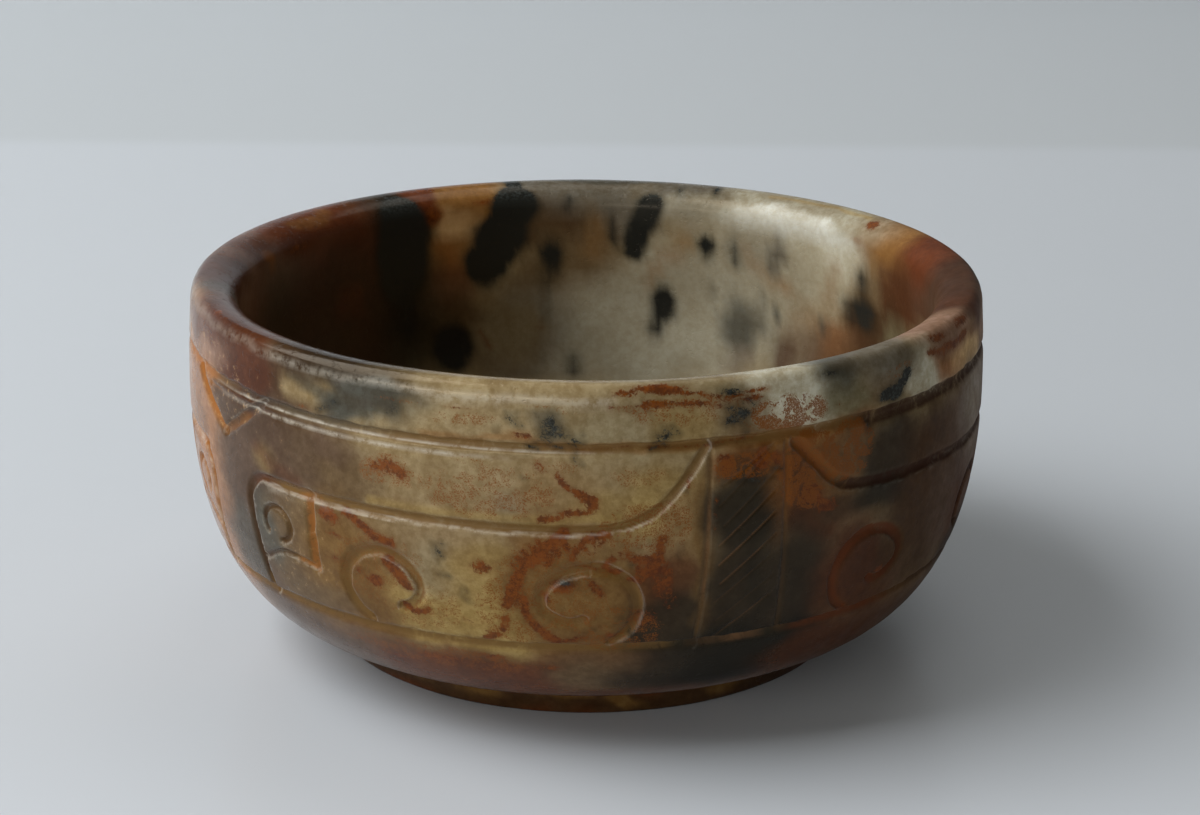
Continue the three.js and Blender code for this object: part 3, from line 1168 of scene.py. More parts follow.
@dataclass(frozen=True)
class JadeFinish:
    """Softly polished nephrite, whose washes, rust and ink come from the mesh's attributes.

    A field that ends in rise holds where a cover starts, where it is full and how much of the
    stone it then hides. Reliefs hold a strength and a depth in millimetres.
    """

    name: str = "polished_jade"
    roughness_low: float = 0.14
    roughness_high: float = 0.27
    seam_roughness: float = 0.2
    dull_side: Pair = (12.0, 34.0)
    dullness: float = 0.5
    dull_inside: float = 0.14
    index: float = 1.6
    shine: float = 0.16
    shine_tint: Shares = (1.0, 0.84, 0.62)
    glow: float = 0.08
    glow_reach: Shares = (1.0, 0.7, 0.4)
    glow_depth: float = 0.4
    ragged: float = 1.1
    ragged_inside: float = 0.3
    crisp: float = 0.1
    crisp_inside: float = 0.24
    calm_inside: float = 0.55
    cloud_dark: Shares = (0.84, 0.8, 0.74)
    cloud_light: Shares = (1.12, 1.14, 1.17)
    grain_dark: Shares = (0.86, 0.82, 0.76)
    grain_light: Shares = (1.1, 1.12, 1.16)
    shade_rise: Pair = (0.36, 0.64)
    cloud: Grain = Grain(4.5, 5.0, 0.62, 0.5)
    grain: Grain = Grain(0.8)
    speck: Grain = Grain(0.3, 3.0, 0.6)
    crumb: Grain = Grain(0.42, 5.0, 0.78, 0.8)
    thorn: Grain = Grain(0.5, 5.0, 0.78, 2.0)
    streak: Grain = Grain(1.5, 4.0, 0.7, 1.2)
    mote: Grain = Grain(0.14, 5.0, 0.8)
    polish: Grain = Grain(2.2, 5.0, 0.6)
    polish_rise: Pair = (0.3, 0.75)
    pit: Grain = Grain(0.7, 3.0)
    pit_rise: Pair = (0.3, 0.42)
    pit_relief: Pair = (0.35, 0.06)
    ripple: Grain = Grain(3.5, 4.0, 0.55)
    ripple_relief: Pair = (0.3, 0.12)
    cut_rise: Pair = (0.08, 0.6)
    seam_rise: Shares = (0.2, 0.55, 0.85)
    rust_core: float = 0.53
    rust_cover: float = 0.92
    rust_blend: Pair = (0.38, 0.62)
    rust_tints: tuple[Colour, Colour] = ((116, 58, 15), (80, 34, 9))
    halo_rise: Shares = (0.1, 0.6, 0.3)
    halo_tint: Colour = (196, 142, 84)
    fleck_patch: Pair = (0.3, 0.52)
    fleck_rise: Shares = (0.39, 0.48, 0.9)
    fleck_tint: Colour = (118, 64, 16)
    ink_core: float = 0.62
    ink_blend: Pair = (0.4, 0.7)
    ink_tints: tuple[Colour, Colour] = ((30, 31, 28), (56, 60, 58))
    smoke_rise: Shares = (0.1, 0.6, 0.45)
    smoke_tint: Colour = (120, 124, 122)
    dust_patch: Pair = (0.4, 0.7)
    dust_rise: Shares = (0.33, 0.42, 0.5)
    wear_and_glint_rise: Shares = (0.28, 0.56, 0.8)

    def mask(self, board: Board, name: str, grain: Socket, haze: Socket, core: float) -> Socket:
        """Breaks a smooth mark up into grain.

        Args:
            board: The board of nodes.
            name: The attribute that holds the mark.
            grain: Noise from 0 to 1.
            haze: How far inside the cup the place is, where marks are softer.
            core: How strong the mark must be to half cover the stone.

        Returns:
            The mark's cover, from 0 to 1.
        """
        reach = board.math("MULTIPLY_ADD", haze, self.ragged_inside - self.ragged, self.ragged)
        stirred = board.product(board.math("SUBTRACT", grain, 0.5), reach)
        strength = board.math("ADD", board.share(name), stirred)
        edge = board.math("MULTIPLY_ADD", haze, self.crisp_inside - self.crisp, self.crisp)
        return board.rise(strength, board.math("SUBTRACT", core, edge), board.math("ADD", core, edge))

    def shade(self, board: Board, grain: Socket, dark: Shares, light: Shares) -> Socket:
        """Turns noise into a factor that darkens one half of the stone and lightens the other."""
        return board.mix(board.rise(grain, *self.shade_rise), (*dark, 1.0), (*light, 1.0))

    def ground(self, board: Board, place: Socket, grain: Socket, haze: Socket) -> Socket:
        """Builds the clouded and grained colour of the washes.

        Args:
            board: The board of nodes.
            place: The place on the piece.
            grain: The stone's grain.
            haze: How far inside the cup the place is.

        Returns:
            The colour.
        """
        strength = board.math("MULTIPLY_ADD", haze, -self.calm_inside, 1.0)
        clouds = self.shade(board, board.noise(place, self.cloud), self.cloud_dark, self.cloud_light)
        colour = board.mix(strength, board.colour("wash"), clouds, "MULTIPLY")
        grains = self.shade(board, grain, self.grain_dark, self.grain_light)
        return board.mix(strength, colour, grains, "MULTIPLY")

    def paint(self, board: Board, place: Socket) -> tuple[Socket, Socket]:
        """Builds the stone's colour.

        Args:
            board: The board of nodes.
            place: The place on the piece.

        Returns:
            The colour, and the cover of dirt and painted shade in the cut lines.
        """
        haze = board.share("haze")
        grain = board.noise(place, self.grain)
        streak = board.noise(place, self.streak)
        mote = board.noise(place, self.mote)
        colour = self.ground(board, place, grain, haze)
        # The cut lines take the seam colour most at their deepest: dirt, deepened as painted shade in the
        # grooves.
        seam_patches = board.rise(streak, *self.seam_rise)
        seam_dirt_and_shade = board.product(board.rise(board.share("cut"), *self.cut_rise), seam_patches)
        colour = board.mix(seam_dirt_and_shade, colour, board.colour("seam"))
        halo = board.rise(board.share("rust"), *self.halo_rise)
        colour = board.mix(halo, colour, linear(self.halo_tint), "MULTIPLY")
        rust = board.mix(board.rise(grain, *self.rust_blend), *map(linear, self.rust_tints))
        rust_mask = self.mask(board, "rust", board.noise(place, self.crumb), haze, self.rust_core)
        colour = board.mix(board.product(rust_mask, self.rust_cover), colour, rust)
        fleck_field = board.product(board.share("fleck"), board.rise(streak, *self.fleck_patch))
        fleck = board.rise(board.product(fleck_field, mote), *self.fleck_rise)
        colour = board.mix(fleck, colour, linear(self.fleck_tint))
        smoke = board.rise(board.share("ink"), *self.smoke_rise)
        colour = board.mix(smoke, colour, linear(self.smoke_tint), "MULTIPLY")
        pale_ink = board.rise(board.noise(place, self.speck), *self.ink_blend)
        ink_grain = board.product(pale_ink, board.math("SUBTRACT", 1.0, haze))
        ink = board.mix(ink_grain, *map(linear, self.ink_tints))
        ink_mask = self.mask(board, "ink", board.noise(place, self.thorn), haze, self.ink_core)
        colour = board.mix(ink_mask, colour, ink)
        dust_field = board.product(board.share("dust"), board.rise(grain, *self.dust_patch))
        dust = board.rise(board.product(dust_field, mote), *self.dust_rise)
        colour = board.mix(dust, colour, linear(Tint.GOLD.value))
        # The pale carved edges and the lip's whitish streaks: rubbed wear, painted glints and a painted
        # highlight.
        wear_and_glint = board.product(board.share("wear_and_glint"), board.rise(grain, *self.wear_and_glint_rise))
        return board.mix(wear_and_glint, colour, linear(Tint.BLOOM.value)), seam_dirt_and_shade

    def roughness(self, board: Board, place: Socket, seam_dirt_and_shade: Socket) -> Socket:
        """Builds the stone's roughness.

        Args:
            board: The board of nodes.
            place: The place on the piece.
            seam_dirt_and_shade: The cover of dirt and painted shade in the cut lines.

        Returns:
            The roughness.
        """
        polish = board.noise(place, self.polish)
        rough = board.rise(polish, *self.polish_rise, self.roughness_high - self.roughness_low)
        rough = board.math("ADD", rough, self.roughness_low)
        rough = board.math("ADD", rough, board.product(seam_dirt_and_shade, self.seam_roughness))
        low, high = self.dull_side
        dull = board.rise(board.along(place, "X"), low * MM, high * MM, self.dullness)
        rough = board.math("ADD", rough, dull)
        return board.math("MULTIPLY_ADD", board.share("haze"), self.dull_inside, rough)

    def build(self) -> bpy.types.Material:
        """Makes the material.

        Returns:
            The finished material.
        """
        material, board = new_material(self.name)
        place = board.position()
        colour, seam_dirt_and_shade = self.paint(board, place)
        pits = board.rise(board.noise(place, self.pit), *self.pit_rise)
        relief = board.bump(pits, *self.pit_relief)
        inputs = {
            "Base Color": colour,
            "Roughness": self.roughness(board, place, seam_dirt_and_shade),
            "IOR": self.index,
            "Specular IOR Level": self.shine,
            "Specular Tint": (*self.shine_tint, 1.0),
            "Subsurface Weight": self.glow,
            "Subsurface Radius": self.glow_reach,
            "Subsurface Scale": self.glow_depth * MM,
            "Normal": board.bump(board.noise(place, self.ripple), *self.ripple_relief, relief),
        }
        board.surface("ShaderNodeBsdfPrincipled", inputs)
        return material


def choose_only(piece: Piece) -> None:
    """Selects one piece alone and makes it the active one.

    Args:
        piece: The piece, in object mode.
    """
    bpy.ops.object.select_all(action="DESELECT")
    piece.select_set(True)
    bpy.context.view_layer.objects.active = piece


@dataclass
class JadeCup:
    """The cup itself: one turned and carved piece of stone."""

    section: Section
    carving: Carving
    markings: Markings
    finish: JadeFinish
    name: str = "carved_jade_cup"
    turn_steps: int = 240
    first_margin: float = 0.3
    second_margin: float = 0.1
    front: Pair = (-63.0, 52.0)
    full_depth: float = 0.38
    wave_depth: float = 0.05
    wave_size: float = 9.0
    merge_distance: float = 0.001
    wall_margin: float = 0.6
    near_round: float = 0.2
    lip_margin: float = 0.3
    split_below_band: float = 0.4
    carved_below_band: float = 0.6

    def turn_blank(self) -> Piece:
        """Draws the outline point by point and spins it into a closed blank.

        Returns:
            The blank, in object mode.
        """
        line = [Vector((radius * MM, 0.0, height * MM)) for radius, height in self.section.outline()]
        bpy.ops.object.select_all(action="DESELECT")
        bpy.ops.mesh.primitive_plane_add(size=MM, location=(0.0, 0.0, 0.0))
        cup = bpy.context.active_object
        cup.name = self.name
        bpy.ops.object.mode_set(mode="EDIT")
        bpy.ops.mesh.select_all(action="SELECT")
        bpy.ops.mesh.merge(type="CENTER")
        bpy.ops.transform.translate(value=line[0])
        for before, after in zip(line, line[1:]):
            bpy.ops.mesh.extrude_region_move(TRANSFORM_OT_translate={"value": after - before})
        bpy.ops.mesh.select_all(action="SELECT")
        around = {"angle": math.tau, "center": (0.0, 0.0, 0.0), "axis": (0.0, 0.0, 1.0)}
        bpy.ops.mesh.spin(steps=self.turn_steps, use_auto_merge=True, **around)
        bpy.ops.mesh.select_all(action="SELECT")
        bpy.ops.mesh.remove_doubles(threshold=self.merge_distance * MM)
        bpy.ops.mesh.normals_make_consistent(inside=False)
        bpy.ops.object.mode_set(mode="OBJECT")
        return cup

    @staticmethod
    def places(items: bpy.types.bpy_prop_collection, name: str) -> np.ndarray:
        """Gives the places of many vertices or faces.

        Args:
            items: The mesh's vertices or faces.
            name: The name of the place that each one holds.

        Returns:
            Rows of x, y and z in millimetres.
        """
        flat = np.empty(len(items) * 3)
        items.foreach_get(name, flat)
        return flat.reshape(-1, 3) / MM

    @staticmethod
    def split_faces(cup: Piece, chosen: np.ndarray) -> None:
        """Cuts each chosen face in four.

        Args:
            cup: The piece, in object mode.
            chosen: Whether each face is to be cut.
        """
        choose_only(cup)
        bpy.ops.object.mode_set(mode="EDIT")
        bpy.ops.mesh.select_mode(type="FACE")
        bpy.ops.mesh.select_all(action="DESELECT")
        bpy.ops.object.mode_set(mode="OBJECT")
        cup.data.polygons.foreach_set("select", chosen)
        bpy.ops.object.mode_set(mode="EDIT")
        bpy.ops.mesh.subdivide(number_cuts=1, smoothness=0.0, ngon=False)
        bpy.ops.object.mode_set(mode="OBJECT")

    def outside(self, points: np.ndarray) -> np.ndarray:
        """Tells which places lie further out than the middle of the wall."""
        middle = self.section.belly_radius - self.section.wall_thickness + self.wall_margin
        return np.hypot(points[:, 0], points[:, 1]) > middle

    def wall_places(self, points: np.ndarray) -> tuple[np.ndarray, float]:
        """Gives azimuth and height of each point, and the millimetres of wall to a degree."""
        azimuth = np.degrees(np.arctan2(points[:, 0], -points[:, 1]))
        return np.stack([azimuth, points[:, 2]], 1), math.radians(self.section.belly_radius)

    def refine(self, cup: Piece) -> None:
        """Splits the faces of the outer wall, and those near a carved line again.

        Args:
            cup: The piece, in object mode.
        """
        middles = self.places(cup.data.polygons, "center")
        inner_edge = self.section.rim_radius - self.section.lip_width - self.lip_margin
        above = middles[:, 2] > self.section.band_bottom - self.split_below_band
        outer = (np.hypot(middles[:, 0], middles[:, 1]) > inner_edge) & above
        high = middles[:, 2] > self.section.cup_height - self.section.lip_inner_height
        self.split_faces(cup, outer & (self.outside(middles) | high))
        every_line = self.carving.motif()
        fine_lines = [cut for cut in every_line if cut.fine] + self.carving.rings()
        for cuts, margin, (left, right) in (
            (every_line, self.first_margin, (-180.0, 180.0)),
            (fine_lines, self.second_margin, self.front),
        ):
            middles = self.places(cup.data.polygons, "center")
            flat, scale = self.wall_places(middles)
            gap = np.full(len(flat), FAR)
            for cut in cuts:
                for turn in TURNS:
                    gap = np.minimum(gap, cut.gap(flat + turn, scale))
            within = (flat[:, 0] > left) & (flat[:, 0] < right)
            self.split_faces(cup, (gap < margin) & self.outside(middles) & within)

    def round_off(self, cup: Piece) -> np.ndarray:
        """Puts the wall's new vertices back on the round.

        Args:
            cup: The piece, in object mode.

        Returns:
            The places of all the vertices, in millimetres.
        """
        points = self.places(cup.data.vertices, "co")
        radius = np.hypot(points[:, 0], points[:, 1])
        curve = self.section.wall_curve()
        true_radius = np.interp(points[:, 2], curve[:, 1], curve[:, 0])
        low, high = self.section.band_bottom, self.section.lip_start_height
        wall = (np.abs(true_radius - radius) < self.near_round) & (points[:, 2] > low) & (points[:, 2] < high)
        points[wall, :2] *= (true_radius[wall] / radius[wall])[:, None]
        cup.data.vertices.foreach_set("co", (points * MM).ravel())
        cup.data.update()
        return self.places(cup.data.vertices, "co")

    def strokes(self, points: np.ndarray) -> tuple[np.ndarray, np.ndarray]:
        """Works out the carving at each place of the outer wall.

        Args:
            points: The places, as rows of x, y and z in millimetres.

        Returns:
            The depth in millimetres and the share of wear and painted glint on the carving's edges.
        """
        flat, scale = self.wall_places(points)
        depth = np.zeros(len(points))
        wear_and_glint = np.zeros(len(points))
        for cut in self.carving.motif() + self.carving.rings():
            for turn in TURNS:
                cut_depth, cut_wear_and_glint = cut.strokes(flat + turn, scale)
                depth = np.maximum(depth, cut_depth)
                wear_and_glint = np.maximum(wear_and_glint, cut_wear_and_glint)
        above = points[:, 2] > self.section.band_bottom - self.carved_below_band
        wall = self.outside(points) & above
        return depth * wall, wear_and_glint * wall

    def carve(self, cup: Piece, depth: np.ndarray, waves: np.ndarray) -> None:
        """Presses the carving and the hand-worked waves into the surface.

        Args:
            cup: The piece, in object mode.
            depth: Depth of the carving at each vertex, in millimetres.
            waves: Depth of the waves at each vertex, in millimetres.
        """
        total = depth + waves
        deepest = float(total.max())
        group = cup.vertex_groups.new(name="carving")
        for index, value in enumerate(total):
            if value > 0:
                group.add([index], value / deepest, "REPLACE")
        press = cup.modifiers.new("carving", "DISPLACE")
        press.direction = "NORMAL"
        press.mid_level = 0.0
        press.strength = -deepest * MM
        press.vertex_group = group.name
        choose_only(cup)
        bpy.ops.object.modifier_apply(modifier=press.name)
        cup.vertex_groups.remove(cup.vertex_groups["carving"])

    @staticmethod
    def write_attribute(cup: Piece, name: str, values: np.ndarray) -> None:
        """Stores one value or one colour for each vertex.

        Args:
            cup: The piece.
            name: The attribute's name.
            values: One number or one linear colour for each vertex.
        """
        if values.ndim == 2:
            layer = cup.data.attributes.new(name, "FLOAT_COLOR", "POINT")
            layer.data.foreach_set("color", values.astype(np.float32).ravel())
        else:
            layer = cup.data.attributes.new(name, "FLOAT", "POINT")
            layer.data.foreach_set("value", values.astype(np.float32))

    def build(self) -> Piece:
        """Makes the whole cup.

        Returns:
            The finished piece.
        """
        cup = self.turn_blank()
        self.refine(cup)
        points = self.round_off(cup)
        figure = StoneFigure(Unrolled(self.section), points)
        depth, wear_and_glint = self.strokes(points)
        marks = self.markings
        attributes = {
            "wash": figure.colour(marks.washes, Tint.BONE),
            "seam": figure.colour(marks.seams, Tint.CARAMEL),
            "rust": figure.strength(marks.rust),
            "ink": figure.strength(marks.ink),
            "fleck": figure.strength(marks.flecks),
            "haze": figure.inside,
            "cut": depth / self.full_depth,
            "dust": figure.strength(marks.dust),
            # Wear and painted glints on the carved edges, with the lip's painted highlight.
            "wear_and_glint": np.maximum(wear_and_glint, figure.strength(marks.painted_highlight)),
        }
        for name, values in attributes.items():
            self.write_attribute(cup, name, values)
        waves = np.array([noise.noise(Vector(point) / self.wave_size) for point in points])
        self.carve(cup, depth, self.wave_depth * np.clip(waves, 0, 1))
        bpy.ops.object.shade_smooth()
        cup.data.materials.clear()
        cup.data.materials.append(self.finish.build())
        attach(cup, BODY)
        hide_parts(NODE)
        triangles = sum(len(face.vertices) - 2 for face in cup.data.polygons)
        log.info("%s: %d vertices, %d triangles", cup.name, len(points), triangles)
        return cup


@dataclass
class Table:
    """A pale, faintly glossy table top, lighter near the camera and a little darker at the back.

    near_edge is where the near tint gives way to the front one, and fold where the back starts.
    The near tint is painted light in front of the cup, and the back tint is painted shade for
    the dimmer backdrop beyond the fold.
    """

    half_size: float = 1500.0
    gap: float = 0.02
    front: Colour = (201, 205, 209)
    back: Colour = (193, 197, 199)
    near: Colour = (210, 214, 219)
    near_edge: Pair = (-70.0, -20.0)
    fold: float = 223.0
    fold_width: float = 12.0
    gloss: float = 0.3
    shine: float = 0.3

    def build(self) -> Piece:
        """Makes the table top.

        Returns:
            The piece.
        """
        bpy.ops.object.select_all(action="DESELECT")
        bpy.ops.mesh.primitive_plane_add(size=2 * self.half_size * MM, location=(0.0, 0.0, -self.gap * MM))
        table = bpy.context.active_object
        table.name = "table_top"
        material, board = new_material("pale_table")
        depth = board.along(board.position(), "Y")
        start, end = self.near_edge
        # The near tint is painted light in front of the cup, and the back tint beyond the fold is painted
        # shade.
        front = board.mix(board.rise(depth, start * MM, end * MM), linear(self.near), linear(self.front))
        share = board.rise(depth, self.fold * MM, (self.fold + self.fold_width) * MM)
        inputs = {
            "Base Color": board.mix(share, front, linear(self.back)),
            "Roughness": self.gloss,
            "Specular IOR Level": self.shine,
        }
        board.surface("ShaderNodeBsdfPrincipled", inputs)
        table.data.materials.append(material)
        return table


@dataclass
class Backdrop:
    """The pale studio wall behind the table, which the lip's far side reflects."""

    behind: float = 430.0
    half_width: float = 700.0
    height: float = 260.0
    colour: Colour = (214, 218, 222)

    def build(self) -> Piece:
        """Makes the wall.

        Returns:
            The piece.
        """
        bpy.ops.object.select_all(action="DESELECT")
        bpy.ops.mesh.primitive_plane_add(size=2 * MM, rotation=(math.pi / 2, 0.0, 0.0))
        wall = bpy.context.active_object
        wall.name = "backdrop"
        bpy.ops.transform.resize(value=(self.half_width, 1.0, self.height / 2))
        bpy.ops.transform.translate(value=(0.0, self.behind * MM, self.height / 2 * MM))
        material, board = new_material("pale_wall")
        board.surface("ShaderNodeBsdfDiffuse", {"Color": linear(self.colour)})
        wall.data.materials.append(material)
        return wall


@dataclass(frozen=True)
class SoftBox:
    """A flat studio lamp that is aimed at the cup. Lengths are in millimetres."""

    name: str
    place: Shares
    width: float
    height: float
    power: float
    colour: Shares = (1.0, 1.0, 1.0)
    aim_height: float = 15.0

    def build(self) -> Piece:
        """Hangs the lamp.

        Returns:
            The lamp.
        """
        bpy.ops.object.light_add(type="AREA", location=[value * MM for value in self.place])
        lamp = bpy.context.active_object
        lamp.name = self.name
        lamp.data.shape = "RECTANGLE"
        lamp.data.size = self.width * MM
        lamp.data.size_y = self.height * MM
        lamp.data.energy = self.power
        lamp.data.color = self.colour
        aim = Vector((0.0, 0.0, self.aim_height)) * MM - lamp.location
        lamp.rotation_euler = aim.to_track_quat("-Z", "Y").to_euler()
        return lamp


@dataclass
class Studio:
    """The lamps and the dim light of the room all round."""

    lamps: tuple[SoftBox, ...] = (
        SoftBox("key_softbox", (-670.0, -65.0, 740.0), 740.0, 740.0, 10.2, (0.98, 1.0, 1.02)),
        SoftBox("top_softbox", (140.0, 300.0, 700.0), 400.0, 400.0, 0.6),
        SoftBox("front_strip", (-320.0, -460.0, 150.0), 640.0, 70.0, 1.1),
    )
    around: Colour = (97, 96, 91)

    def build(self) -> None:
        """Sets up the lamps and the world."""
        for lamp in self.lamps:
            lamp.build()
        world = bpy.data.worlds.new("studio")
        bpy.context.scene.world = world
        world.use_nodes = True
        around = {"Color": linear(self.around)}
        Board(world.node_tree).surface("ShaderNodeBackground", around, "ShaderNodeOutputWorld")
        bpy.context.scene.view_settings.view_transform = "Standard"


@dataclass
class Camera:
    """The camera at the photograph's place. Lengths are in millimetres, angles in degrees."""

    aim: Shares = (1.41, 0.0, 21.77)
    distance: float = 240.2
    elevation: float = 18.575
    roll: float = 0.367
    focal_pixels: float = 2330.9
    image_width: float = 1200.0
    sensor: float = 36.0
    nearest: float = 10.0

    def build(self) -> Piece:
        """Places the camera and makes it the scene's own.

        Returns:
            The camera.
        """
        tilt = math.radians(self.elevation)
        back = Vector((0.0, -math.cos(tilt), math.sin(tilt))) * self.distance
        bpy.ops.object.camera_add(location=(Vector(self.aim) + back) * MM)
        camera = bpy.context.active_object
        camera.name = "camera"
        camera.rotation_euler = (math.radians(90 - self.elevation), 0.0, 0.0)
        camera.rotation_euler.rotate_axis("Z", math.radians(self.roll))
        camera.data.sensor_fit = "HORIZONTAL"
        camera.data.sensor_width = self.sensor
        camera.data.lens = self.focal_pixels / self.image_width * self.sensor
        camera.data.clip_start = self.nearest * MM
        bpy.context.scene.camera = camera
        return camera


def wall_washes() -> Washes:
    """Lists the soft patches of the outer wall, from the ground up.

    Returns:
        The patches, the lowest layer first.
    """
    left_side = [
        Wash(-100, 20, 18, 24, Tint.ROSE), Wash(-67, 22, 9, 20, Tint.PEACH),
        Wash(-75, 14, 7, 7, Tint.ROSE, 0.7), Wash(-68, 26, 3, 2, Tint.MAUVE, 0.4),
        Wash(-50, 24, 6.5, 17, Tint.MAUVE), Wash(-56.5, 29.6, 2.8, 1.5, Tint.MAUVE, 0.9),
        Wash(-52, 33.8, 6, 2.8, Tint.PLUM), Wash(-65, 34, 5, 2.4, Tint.ROSE, 0.85),
        Wash(-70, 36.4, 7, 1.2, Tint.PLUM, 0.6), Wash(-54.4, 15.6, 2.6, 4.6, Tint.STEEL, 0.9),
        Wash(-47.6, 21.2, 1.8, 2.2, Tint.SLATE, 0.8), Wash(-46.8, 26, 2.2, 1, Tint.TAN, 0.6),
        Wash(-43.2, 33.6, 1.8, 3, Tint.CLAY, 0.8), Wash(-39, 33.6, 3, 2, Tint.BONE, 0.9),
        Wash(-33.2, 32.6, 2.8, 1.2, Tint.SLATE, 0.95), Wash(-29, 33.9, 3.6, 2.4, Tint.SLATE, 0.95),
        Wash(-24.5, 34, 2.8, 2.4, Tint.SLATE, 0.5),
        Streak([(-41, 35.4), (-38.6, 34.4), (-36.6, 33.8)], 1.3, Tint.SLATE, 0.7),
        Wash(-39, 27.5, 6.5, 4, Tint.MAUVE, 0.85), Wash(-32.5, 27.4, 2.8, 3.4, Tint.OLIVE, 0.9),
        Wash(-28.5, 27, 1.8, 3, Tint.OLIVE, 0.6), Wash(-34, 29.2, 2.6, 1.4, Tint.MAUVE, 0.7),
        Wash(-42.5, 17, 4.4, 6.5, Tint.OLIVE, 0.95), Wash(-47.8, 18.8, 2.2, 2.6, Tint.SLATE, 0.8),
        Wash(-33, 17.5, 5, 6.8, Tint.CARAMEL, 0.95), Wash(-27, 16, 3.6, 5, Tint.CARAMEL, 0.75),
        Wash(-37, 13, 3.5, 1.5, Tint.OLIVE, 0.6),
        Streak([(-49, 26.6), (-45, 25.4), (-40.5, 25)], 1.4, Tint.PLUM, 0.5),
    ]
    front = [
        Wash(-20, 14.5, 4, 3.5, Tint.TAN, 0.9), Wash(-20, 19, 3, 2.6, Tint.SAND, 0.6),
        Wash(-12, 14.5, 4, 4, Tint.TAN, 0.95), Wash(-12.5, 19.8, 3, 2.4, Tint.TAN, 0.7),
        Wash(-8.8, 25.6, 1.8, 1.5, Tint.ASH, 0.35), Wash(-3, 26.8, 3.4, 3.4, Tint.OCHRE, 0.7),
        Wash(-4, 22.6, 3.4, 1.4, Tint.HONEY, 0.7), Wash(-4.5, 17.5, 3.6, 6.5, Tint.CARAMEL, 0.9),
        Wash(3, 22, 3.2, 2.2, Tint.OCHRE, 0.8), Wash(4, 16.8, 4.2, 5, Tint.CARAMEL, 0.95),
        Wash(5, 25.2, 4.4, 2, Tint.TAN, 0.6), Wash(10, 27, 3.6, 3.2, Tint.TAN, 0.7),
        Wash(12.4, 23.4, 2.4, 4, Tint.OCHRE, 0.8), Wash(10.6, 18.6, 2.8, 3, Tint.BRICK, 0.8),
        Wash(11.5, 14.2, 3.8, 4.2, Tint.MOSS, 0.95), Wash(5, 33.6, 6, 2, Tint.SAND, 0.8),
        Wash(12.4, 34, 2.8, 2, Tint.TAN, 0.55), Wash(-4.6, 33.4, 1.6, 1.5, Tint.SLATE, 0.5),
        Streak([(-20, 31.9), (-8, 31.8), (4, 31.8), (14, 31.7), (26, 31.8)], 0.8, Tint.HONEY, 0.6),
        Streak([(-28, 24.9), (-16, 24.8), (-6, 24.6), (4, 24.7)], 0.9, Tint.TAN, 0.6),
    ]
    panel = [
        Wash(15.4, 22, 1, 9, Tint.CARAMEL, 0.8), Wash(21, 30, 3.5, 2.4, Tint.SIENNA, 0.95),
        Wash(21, 29, 3.2, 1.8, Tint.COCOA, 0.7), Wash(21, 25, 3.9, 3.6, Tint.MOSS, 0.95),
        Wash(21.5, 17, 4.4, 7, Tint.MOSS), Wash(22, 24.6, 3.4, 2.6, Tint.PITCH, 0.6),
        Wash(21, 10.6, 7.5, 3.4, Tint.PITCH), Wash(24.6, 20, 1.6, 6, Tint.PITCH, 0.6),
        Wash(20.5, 33.8, 2.4, 2.2, Tint.OLIVE, 0.8),
    ]
    right_side = [
        Wash(29, 28, 3.6, 5, Tint.SIENNA), Wash(29.6, 27.4, 3.2, 3.8, Tint.COCOA, 0.75),
        Wash(31, 23, 3.2, 2.6, Tint.COCOA), Wash(29.5, 17, 3.2, 5.6, Tint.MOSS),
        Wash(30, 11, 4.2, 2.6, Tint.PITCH), Wash(36.5, 28.6, 3.8, 4, Tint.SIENNA),
        Wash(37, 28.6, 3, 3.4, Tint.OLIVE, 0.6), Wash(36, 23.8, 3.2, 1.5, Tint.UMBER, 0.9),
        Wash(38, 17, 4.4, 5.6, Tint.COCOA), Wash(44, 14, 4.6, 4, Tint.COCOA, 0.85),
        Wash(45, 27, 4, 5, Tint.CHARCOAL), Wash(43.6, 23.3, 3.6, 1.4, Tint.PITCH, 0.85),
        Wash(46.5, 18.6, 3, 4, Tint.CLAY, 0.8), Wash(54, 22, 5.4, 10, Tint.CLAY),
        Wash(62, 22, 4.6, 10, Tint.TAUPE), Wash(73, 20, 7, 14, Tint.PLUM, 0.9),
        Wash(88, 20, 10, 18, Tint.PLUM), Wash(66, 28, 4, 3, Tint.TAUPE, 0.7),
        # The pale wash at azimuth 71 is a painted reflection of the bright table.
        Wash(71, 27, 4.6, 4.6, Tint.BLOOM, 0.36, 0, 0.95), Wash(70, 12, 6, 3.6, Tint.PITCH, 0.7),
    ]
    rim_right = [
        Wash(29, 34, 4.6, 2, Tint.CREAM), Wash(29, 31.2, 3.2, 0.8, Tint.HONEY, 0.7),
        Wash(36, 34, 2.8, 2.2, Tint.SAGE, 0.95), Wash(42, 35.8, 2.6, 0.9, Tint.SAND, 0.9),
        Wash(43, 34, 3, 1.8, Tint.OLIVE, 0.8), Wash(52.6, 34.2, 4.4, 2, Tint.CREAM),
        Wash(59.5, 34, 3.4, 1.8, Tint.PEACH), Wash(60, 36, 4, 0.9, Tint.SIENNA, 0.9),
        Wash(68, 34, 5, 2.2, Tint.APRICOT, 0.8), Wash(68, 36, 4, 0.9, Tint.SIENNA, 0.9),
        Wash(82, 33.6, 7, 2.6, Tint.ROSE, 0.8),
    ]
